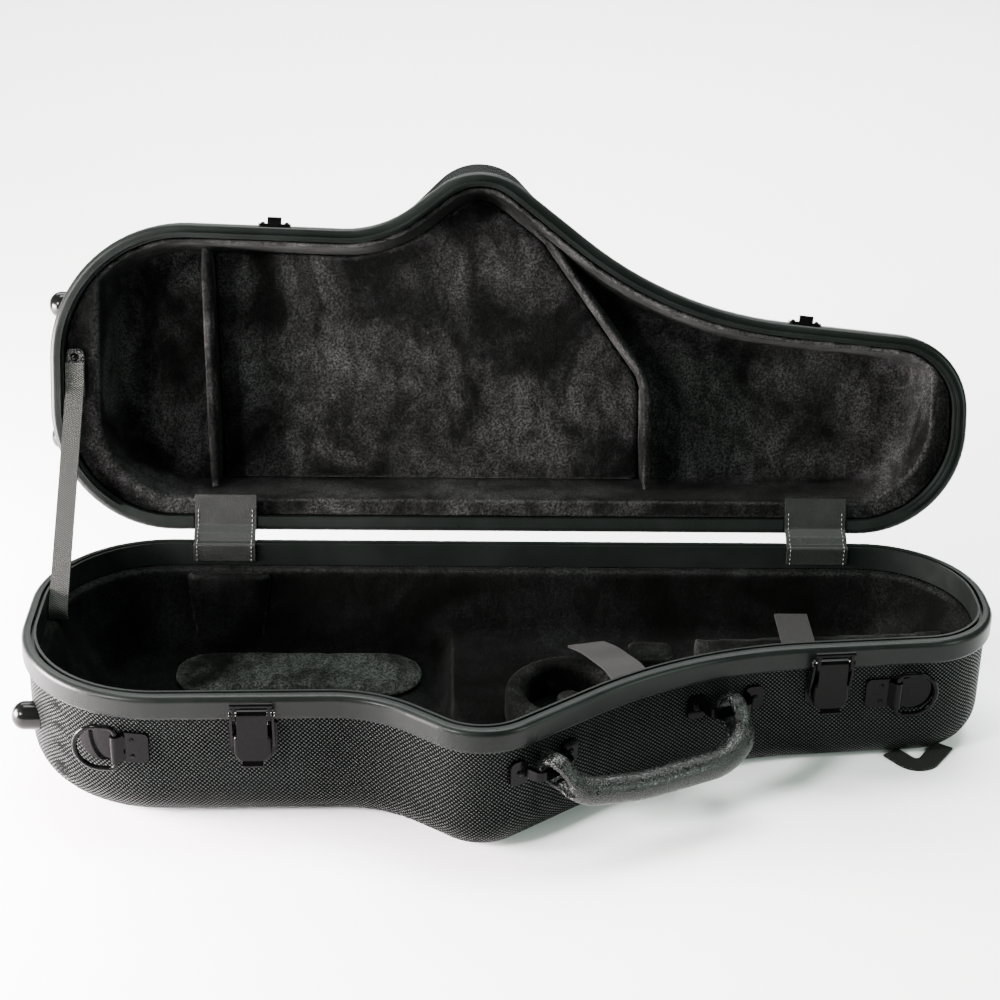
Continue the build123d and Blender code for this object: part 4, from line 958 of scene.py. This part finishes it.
@dataclass
class StitchRow:
    """A row of stitches along a line of spots."""

    name: str
    spots: list[Vector]
    pitch: float = 3.2 * MM
    length: float = 2.3 * MM
    width: float = 0.7 * MM

    def tree(self) -> bpy.types.NodeTree:
        """Build the node tree that lays the stitches.

        Returns:
            The tree.
        """
        tree = bpy.data.node_groups.new(f"{self.name}_rows", "GeometryNodeTree")
        face = tree.interface
        face.new_socket("Line", in_out="INPUT", socket_type="NodeSocketGeometry")
        for socket, kind in (("Pitch", "NodeSocketFloat"), ("Stitch size", "NodeSocketVector"),
                             ("Thread", "NodeSocketMaterial")):
            face.new_socket(socket, in_out="INPUT", socket_type=kind)
        face.new_socket("Stitches", in_out="OUTPUT", socket_type="NodeSocketGeometry")
        nodes, links = tree.nodes, tree.links
        given, result = nodes.new("NodeGroupInput"), nodes.new("NodeGroupOutput")
        steps = nodes.new("GeometryNodeResampleCurve")
        steps.mode = "LENGTH"
        bead = nodes.new("GeometryNodeMeshUVSphere")
        for socket, value in (("Segments", 8), ("Rings", 5), ("Radius", 0.5)):
            bead.inputs[socket].default_value = value
        shaped = nodes.new("GeometryNodeTransform")
        points = nodes.new("GeometryNodeInstanceOnPoints")
        tangent = nodes.new("GeometryNodeInputTangent")
        aim = nodes.new("FunctionNodeAlignRotationToVector")
        aim.axis = "X"
        real = nodes.new("GeometryNodeRealizeInstances")
        paint = nodes.new("GeometryNodeSetMaterial")
        for start, end in (
            (given.outputs["Line"], steps.inputs["Curve"]),
            (given.outputs["Pitch"], steps.inputs["Length"]),
            (steps.outputs["Curve"], points.inputs["Points"]),
            (bead.outputs["Mesh"], shaped.inputs["Geometry"]),
            (given.outputs["Stitch size"], shaped.inputs["Scale"]),
            (shaped.outputs["Geometry"], points.inputs["Instance"]),
            (tangent.outputs["Tangent"], aim.inputs["Vector"]),
            (aim.outputs["Rotation"], points.inputs["Rotation"]),
            (points.outputs["Instances"], real.inputs["Geometry"]),
            (real.outputs["Geometry"], paint.inputs["Geometry"]),
            (given.outputs["Thread"], paint.inputs["Material"]),
            (paint.outputs["Geometry"], result.inputs["Stitches"]),
        ):
            links.new(start, end)
        return tree

    def build(self, thread: bpy.types.Material) -> bpy.types.Object:
        """Lay the row and give it as a plain mesh piece.

        Args:
            thread: the thread's finish.

        Returns:
            The row as one piece.
        """
        line = bpy.data.curves.new(self.name, "CURVE")
        line.dimensions = "3D"
        run = line.splines.new("POLY")
        run.points.add(len(self.spots) - 1)
        for point, spot in zip(run.points, self.spots):
            point.co = (*spot, 1.0)
        guide = add_object(f"{self.name}_guide", line)
        rows = guide.modifiers.new("rows", "NODES")
        rows.node_group = self.tree()
        values = {"Pitch": self.pitch, "Stitch size": (self.length, self.width, self.width),
                  "Thread": thread}
        for item in rows.node_group.interface.items_tree:
            if item.in_out == "INPUT" and item.name in values:
                rows[item.identifier] = values[item.name]
        graph = bpy.context.evaluated_depsgraph_get()
        mesh = bpy.data.meshes.new_from_object(guide.evaluated_get(graph))
        bpy.data.objects.remove(guide)
        piece = add_object(self.name, mesh)
        smooth_faces(piece)
        return piece


def seen_line(piece: bpy.types.Object, starts: list[Vector], way: Vector,
              lift: float) -> list[Vector]:
    """Find where rays from a line of starts meet a piece.

    Args:
        piece: the piece to meet.
        starts: where the rays start.
        way: their direction.
        lift: how far the found spots stand off the surface.

    Returns:
        The spots that were found, in order.
    """
    tree = BVHTree.FromPolygons([v.co for v in piece.data.vertices],
                                [p.vertices for p in piece.data.polygons])
    found = []
    for start in starts:
        spot, normal, _, _ = tree.ray_cast(start, way)
        if spot is not None:
            found.append(spot + normal * lift)
    return found


@dataclass
class Shells:
    """The two moulded shells and their rim bands."""

    def build(self) -> None:
        """Dress the shells and rims."""
        dress("base_shell", EmbossedTwill("twill_base").build())
        dress("lid_shell", EmbossedTwill("twill_lid", turn=LID_ANGLE).build())
        band = SatinPlastic("rim_plastic").build()
        dress("base_rim", band)
        dress("lid_rim", band)


@dataclass
class Hardware:
    """Lacquered hardware, steel pins and the feet."""

    lacquered: tuple = (
        "hinge_left_base_leaf", "hinge_right_base_leaf", "hinge_left_lid_leaf",
        "hinge_right_lid_leaf", "base_hinge_rivets", "lid_hinge_rivets",
        "left_latch_plate", "right_latch_plate", "left_latch_lever", "right_latch_lever",
        "left_latch_hook", "right_latch_hook", "latch_rivets", "left_keeper", "right_keeper",
        "keeper_rivets", "left_handle_bracket", "right_handle_bracket", "handle_screws",
        "left_ring_plate", "right_ring_plate", "anchor_rivets", "left_ring", "right_ring",
        "stay_rivet",
    )
    pins: tuple = ("hinge_left_pin", "hinge_right_pin", "left_lever_pin", "right_lever_pin",
                   "left_hook_pin", "right_hook_pin")

    def build(self) -> None:
        """Dress the hardware and the feet."""
        enamel = GlossEnamel("black_enamel").build()
        for node in self.lacquered:
            dress(node, enamel)
        steel = GlossEnamel("dark_steel", color=(0.20, 0.20, 0.20), worn=(0.35, 0.35, 0.34),
                            gloss=0.22, metallic=1.0).build()
        for node in self.pins:
            dress(node, steel)
        rubber = SatinPlastic("foot_rubber", color=(0.0010, 0.0012, 0.0011),
                              worn=(0.0015, 0.0018, 0.0016), gloss=0.15, specular=0.12).build()
        dress("base_feet", rubber)
        dress("lid_feet", rubber)


@dataclass
class Plush:
    """The plush-covered foam of the base and the lid.

    Each row gives a node, its remesh cell in millimetres, its rounds of smoothing and its fill.
    """

    base_pieces: tuple = (
        ("base_liner", 3.0, 6, Fill.FLAT),
        ("floor_pad", 2.0, 6, Fill.PLUMP),
        ("ledge_block", 2.2, 5, Fill.FIRM),
        ("neck_cradle", 1.8, 6, Fill.FIRM),
        ("cradle_plug", 1.5, 5, Fill.FIRM),
        ("neck_block", 1.8, 6, Fill.PLUMP),
        ("wall_pad", 2.0, 6, Fill.FIRM),
    )
    lid_pieces: tuple = (
        ("lid_liner", 2.6, 6, Fill.FLAT),
        ("lid_pad", 2.6, 4, Fill.FLAT),
        ("bell_ridge", 2.0, 4, Fill.FIRM),
        ("neck_ridge", 2.0, 4, Fill.FIRM),
    )
    seed_step: float = 7.0
    pad_top: float = 82.7 * MM
    pad_flank: float = 0.35

    def bulge(self, piece: bpy.types.Object) -> None:
        """Round the wall pad in plan, thinnest at its flanks, and raise its top.

        Args:
            piece: the pad's plush.
        """
        low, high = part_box("wall_pad")
        spots = spots_of(piece.data)
        share = np.clip((2 * spots[:, 0] - low.x - high.x) / (high.x - low.x), -1.0, 1.0)
        dome = self.pad_flank + (1 - self.pad_flank) * np.sqrt(1 - share ** 2)
        spots[:, 1] = high.y - (high.y - spots[:, 1]) * dome
        rise = np.clip((spots[:, 2] - low.z) / (high.z - low.z), 0.0, 1.0)
        spots[:, 2] += rise * max(0.0, self.pad_top - high.z)
        move_to(piece.data, spots)

    def build(self) -> None:
        """Make every plush piece and set it on its body."""
        lid_velvet = Velvet("plush_lid").build()
        # These are copies of one plush: painted darker in the base, a painted shade where its
        # hollow lies in shadow, darkest on the liner and wall pad, and painted paler on the floor
        # pad, a painted light.
        dark = Velvet("plush_base_painted_shade", brushed=(0.0032, 0.0037, 0.0034),
                      edge=(0.026, 0.029, 0.027)).build()
        pale = Velvet("plush_floor_painted_light", brushed=(0.0230, 0.0256, 0.0230),
                      edge=(0.050, 0.056, 0.051)).build()
        middle = Velvet("plush_pads_painted_shade", brushed=(0.0088, 0.0098, 0.0090),
                        edge=(0.045, 0.050, 0.046)).build()
        painted_light_and_shade = {"base_liner": dark, "wall_pad": dark, "floor_pad": pale}
        pieces = [("base", *row) for row in self.base_pieces]
        pieces += [("lid", *row) for row in self.lid_pieces]
        for index, (body, node, cell, rounds, fill) in enumerate(pieces):
            piece = soften(node, f"{node}_plush", cell * MM, rounds, fill,
                           seed=self.seed_step * index)
            if node == "wall_pad":
                self.bulge(piece)
            # Base pieces get their painted-shade or painted-light copy of the plush.
            piece.data.materials.append(lid_velvet if body == "lid" else painted_light_and_shade.get(node, middle))
            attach(piece, body)
            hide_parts(node)
            log.info("made %s with %d faces", piece.name, len(piece.data.polygons))


@dataclass
class Straps:
    """The webbing of the base, the loop under it and the stay strap of the lid."""

    neck_knots: tuple = ((0.051, 0.024, 0.063), (0.0585, 0.001, 0.072), (0.0656, -0.0216, 0.0785),
                         (0.071, -0.046, 0.0865), (0.0745, -0.0685, 0.092))
    knot_steps: int = 10
    neck_across: tuple = (0.970, 0.241, 0.0)
    neck_width: float = 26 * MM
    neck_wall: float = 1.6 * MM
    loop_across: tuple = (0.8, -0.6, 0.0)
    loop_along: tuple = (0.6, 0.8, 0.0)
    strap_cell: float = 4 * MM
    stay_cell: float = 3 * MM
    rounds: int = 6

    def strip(self, node: str, across: Vector, along: Vector, cell: float,
              cloth: bpy.types.Material) -> bpy.types.Object:
        """Make a webbing piece over its solid.

        Args:
            node: the CAD node.
            across: direction across the strap.
            along: direction along it.
            cell: the longest edge that the mesh keeps.
            cloth: the webbing's finish.

        Returns:
            The new piece.
        """
        piece = copy_of(node, f"{node}_webbing")
        refine(piece, cell, self.rounds)
        lay_uv(piece, across, along)
        piece.data.materials.append(cloth)
        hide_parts(node)
        return piece

    def build(self) -> None:
        """Make the four straps."""
        cloth = Webbing("strap_webbing").build()
        dark_cloth = Webbing("seat_webbing", dark=(0.0005, 0.0006, 0.0005),
                             yarn=(0.0080, 0.0092, 0.0080)).build()
        x, y = Vector((1, 0, 0)), Vector((0, 1, 0))
        line = curve_through(self.neck_knots, self.knot_steps)
        neck = ribbon("neck_strap_webbing", line, Vector(self.neck_across), self.neck_width,
                      self.neck_wall)
        neck.data.materials.append(dark_cloth)
        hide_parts("neck_strap")
        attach(neck, "base")
        body = self.strip("body_strap", x, y, self.strap_cell, dark_cloth)
        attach(body, "base")
        loop = self.strip("carry_loop", Vector(self.loop_across), Vector(self.loop_along),
                          self.strap_cell, cloth)
        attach(loop, "base")
        low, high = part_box("stay_strap")
        rise = Vector((0, high.y - low.y, high.z - low.z)).normalized()
        stay = self.strip("stay_strap", x, rise, self.stay_cell, cloth)
        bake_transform(stay)
        log.info("made 4 straps")


@dataclass
class Leather:
    """The handle, the covers over the hinges and the tab of the stay strap.

    The view of the stitches is an offset in y and z from a cover's box, from its front and
    underside. The ends of the fold are offsets in y and z from its back and underside, and are not
    used.
    """

    cell: float = 4 * MM
    rounds: int = 5
    grain_along: tuple = (0.0, 0.45, 0.9)
    fold_start: tuple = (-24 * MM, 12 * MM)
    fold_end: tuple = (-6 * MM, 26 * MM)
    stitch_inset: float = 2.6 * MM
    stitch_lift: float = 0.15 * MM
    stitch_view: tuple = (-40 * MM, 20 * MM)
    stitch_ends: tuple = (0.02, 0.98)
    stitch_spots: int = 40

    def cover(self, side: str, hide: bpy.types.Material, thread: bpy.types.Material) -> None:
        """Make one hinge cover with a row of stitches along each side.

        Args:
            side: left or right.
            hide: the leather.
            thread: the thread.
        """
        node = f"{side}_hinge_cover"
        piece = copy_of(node, f"{node}_leather")
        refine(piece, self.cell, self.rounds)
        lay_uv(piece, Vector((1, 0, 0)), Vector(self.grain_along))
        piece.data.materials.append(hide)
        low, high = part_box(node)
        back, up = self.stitch_view
        rows = []
        for x in (low.x + self.stitch_inset, high.x - self.stitch_inset):
            line = [
                Vector((x, low.y + back, low.z + up + share * (high.z - low.z)))
                for share in np.linspace(*self.stitch_ends, self.stitch_spots)
            ]
            spots = seen_line(piece, line, STITCH_LOOK, self.stitch_lift)
            if len(spots) > 2:
                tag = "left" if x < (low.x + high.x) / 2 else "right"
                rows.append(StitchRow(f"{node}_{tag}_stitches", spots).build(thread))
        for made in (piece, *rows):
            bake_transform(made)
        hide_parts(node)
        log.info("made %s with %d stitch rows", piece.name, len(rows))

    def build(self) -> None:
        """Make the leather pieces."""
        hide = PebbledLeather("black_leather").build()
        # The lighter pebble crests of the covers are a painted highlight as well.
        soft_hide = PebbledLeather("cover_leather", source="UV", cells=1500.0, depth=0.10 * MM,
                                   color=(0.0042, 0.0052, 0.0044), lit_crest=(0.0080, 0.0098, 0.0083),
                                   gloss=0.5, specular=0.10).build()
        thread = Thread("dark_thread", color=(0.012, 0.014, 0.012),
                        light=(0.05, 0.055, 0.05)).build()
        grip = soften("handle_grip", "handle_grip_leather", cell=1.3 * MM, rounds=4, seed=3.0,
                      wave=0.2 * MM)
        grip.data.materials.append(hide)
        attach(grip, "handle")
        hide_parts("handle_grip")
        for side in ("left", "right"):
            self.cover(side, soft_hide, thread)
        tab = soften("stay_tab", "stay_tab_leather", cell=0.8 * MM, rounds=3, wave=0.05 * MM)
        tab.data.materials.append(hide)
        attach(tab, "lid")
        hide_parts("stay_tab")


@dataclass(frozen=True)
class Softbox:
    """A rectangular soft light, hung at a place and aimed at a target."""

    name: str
    place: tuple
    target: tuple
    size: tuple
    power: float
    color: tuple

    def hang(self) -> None:
        """Hang the light."""
        lamp = bpy.data.lights.new(self.name, "AREA")
        lamp.shape = "RECTANGLE"
        lamp.size, lamp.size_y = self.size
        lamp.energy = self.power
        lamp.color = self.color
        aim = Vector(self.target) - Vector(self.place)
        turn = aim.to_track_quat("-Z", "Y").to_matrix().to_4x4()
        add_object(self.name, lamp).matrix_world = Matrix.Translation(self.place) @ turn


@dataclass
class Studio:
    """Floor, soft lights and the camera of the photograph."""

    lens: float = 79.75
    sensor: float = 36.0
    far_clip: float = 50.0
    eye: tuple = (-0.0544, -1.3076, 0.8457)
    yaw: float = math.radians(1.868)
    pitch: float = math.radians(26.720)
    roll: float = math.radians(1.253)
    softboxes: tuple = (
        Softbox("left_softbox", (-1.00, -0.10, 0.20), (-0.25, -0.05, 0.06), (0.5, 0.3), 230.0,
                (1.0, 0.86, 0.90)),
        Softbox("right_softbox", (1.4, -0.8, 0.7), (0.1, 0.0, 0.1), (0.4, 0.8), 26.0,
                (0.82, 1.0, 0.89)),
        Softbox("key_softbox", (-1.40, -1.30, 1.25), (0.0, 0.1, 0.15), (0.35, 0.35), 100.0,
                (1.0, 0.97, 0.98)),
        Softbox("top_softbox", (0.1, 0.5, 2.1), (0.0, 0.1, 0.0), (1.8, 0.8), 150.0,
                (0.97, 1.0, 0.98)),
        Softbox("back_softbox", (0.0, 1.9, 1.7), (0.0, 1.7, 0.0), (3.2, 1.2), 170.0,
                (0.97, 1.0, 0.98)),
    )
    room_color: tuple = (0.97, 1.0, 0.98, 1.0)
    room_strength: float = 0.32
    floor_reach: float = 14.0
    floor_cells: int = 24

    def floor(self) -> None:
        """Lay the pale floor."""
        work = bmesh.new()
        bmesh.ops.create_grid(work, x_segments=self.floor_cells, y_segments=self.floor_cells,
                              size=self.floor_reach)
        piece = piece_from(work, "studio_floor")
        piece.data.materials.append(FloorPaint("pale_floor").build())

    def light(self) -> None:
        """Hang the softboxes and light the room."""
        for softbox in self.softboxes:
            softbox.hang()
        room = bpy.data.worlds.new("studio_room")
        room.use_nodes = True
        sky = room.node_tree.nodes["Background"]
        sky.inputs["Color"].default_value = self.room_color
        sky.inputs["Strength"].default_value = self.room_strength
        bpy.context.scene.world = room

    def camera(self) -> None:
        """Place the camera where the photograph was taken from."""
        ahead = Vector((math.sin(self.yaw) * math.cos(self.pitch),
                        math.cos(self.yaw) * math.cos(self.pitch), -math.sin(self.pitch)))
        right = Vector((math.cos(self.yaw), -math.sin(self.yaw), 0.0))
        up = right.cross(ahead)
        turned_right = right * math.cos(self.roll) + up * math.sin(self.roll)
        turned_up = up * math.cos(self.roll) - right * math.sin(self.roll)
        lens = bpy.data.cameras.new("photo_camera")
        lens.lens = self.lens
        lens.sensor_width = self.sensor
        lens.clip_end = self.far_clip
        view = add_object("photo_camera", lens)
        turn = Matrix((turned_right, turned_up, -ahead)).transposed().to_4x4()
        view.matrix_world = Matrix.Translation(self.eye) @ turn
        bpy.context.scene.camera = view

    def build(self) -> None:
        """Set up camera, floor and light."""
        self.camera()
        self.floor()
        self.light()
        log.info("studio ready")


def main() -> None:
    """Build the case piece by piece."""
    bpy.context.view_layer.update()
    Studio().build()
    Shells().build()
    Hardware().build()
    Plush().build()
    Leather().build()
    Straps().build()


if __name__ == "__main__":
    main()
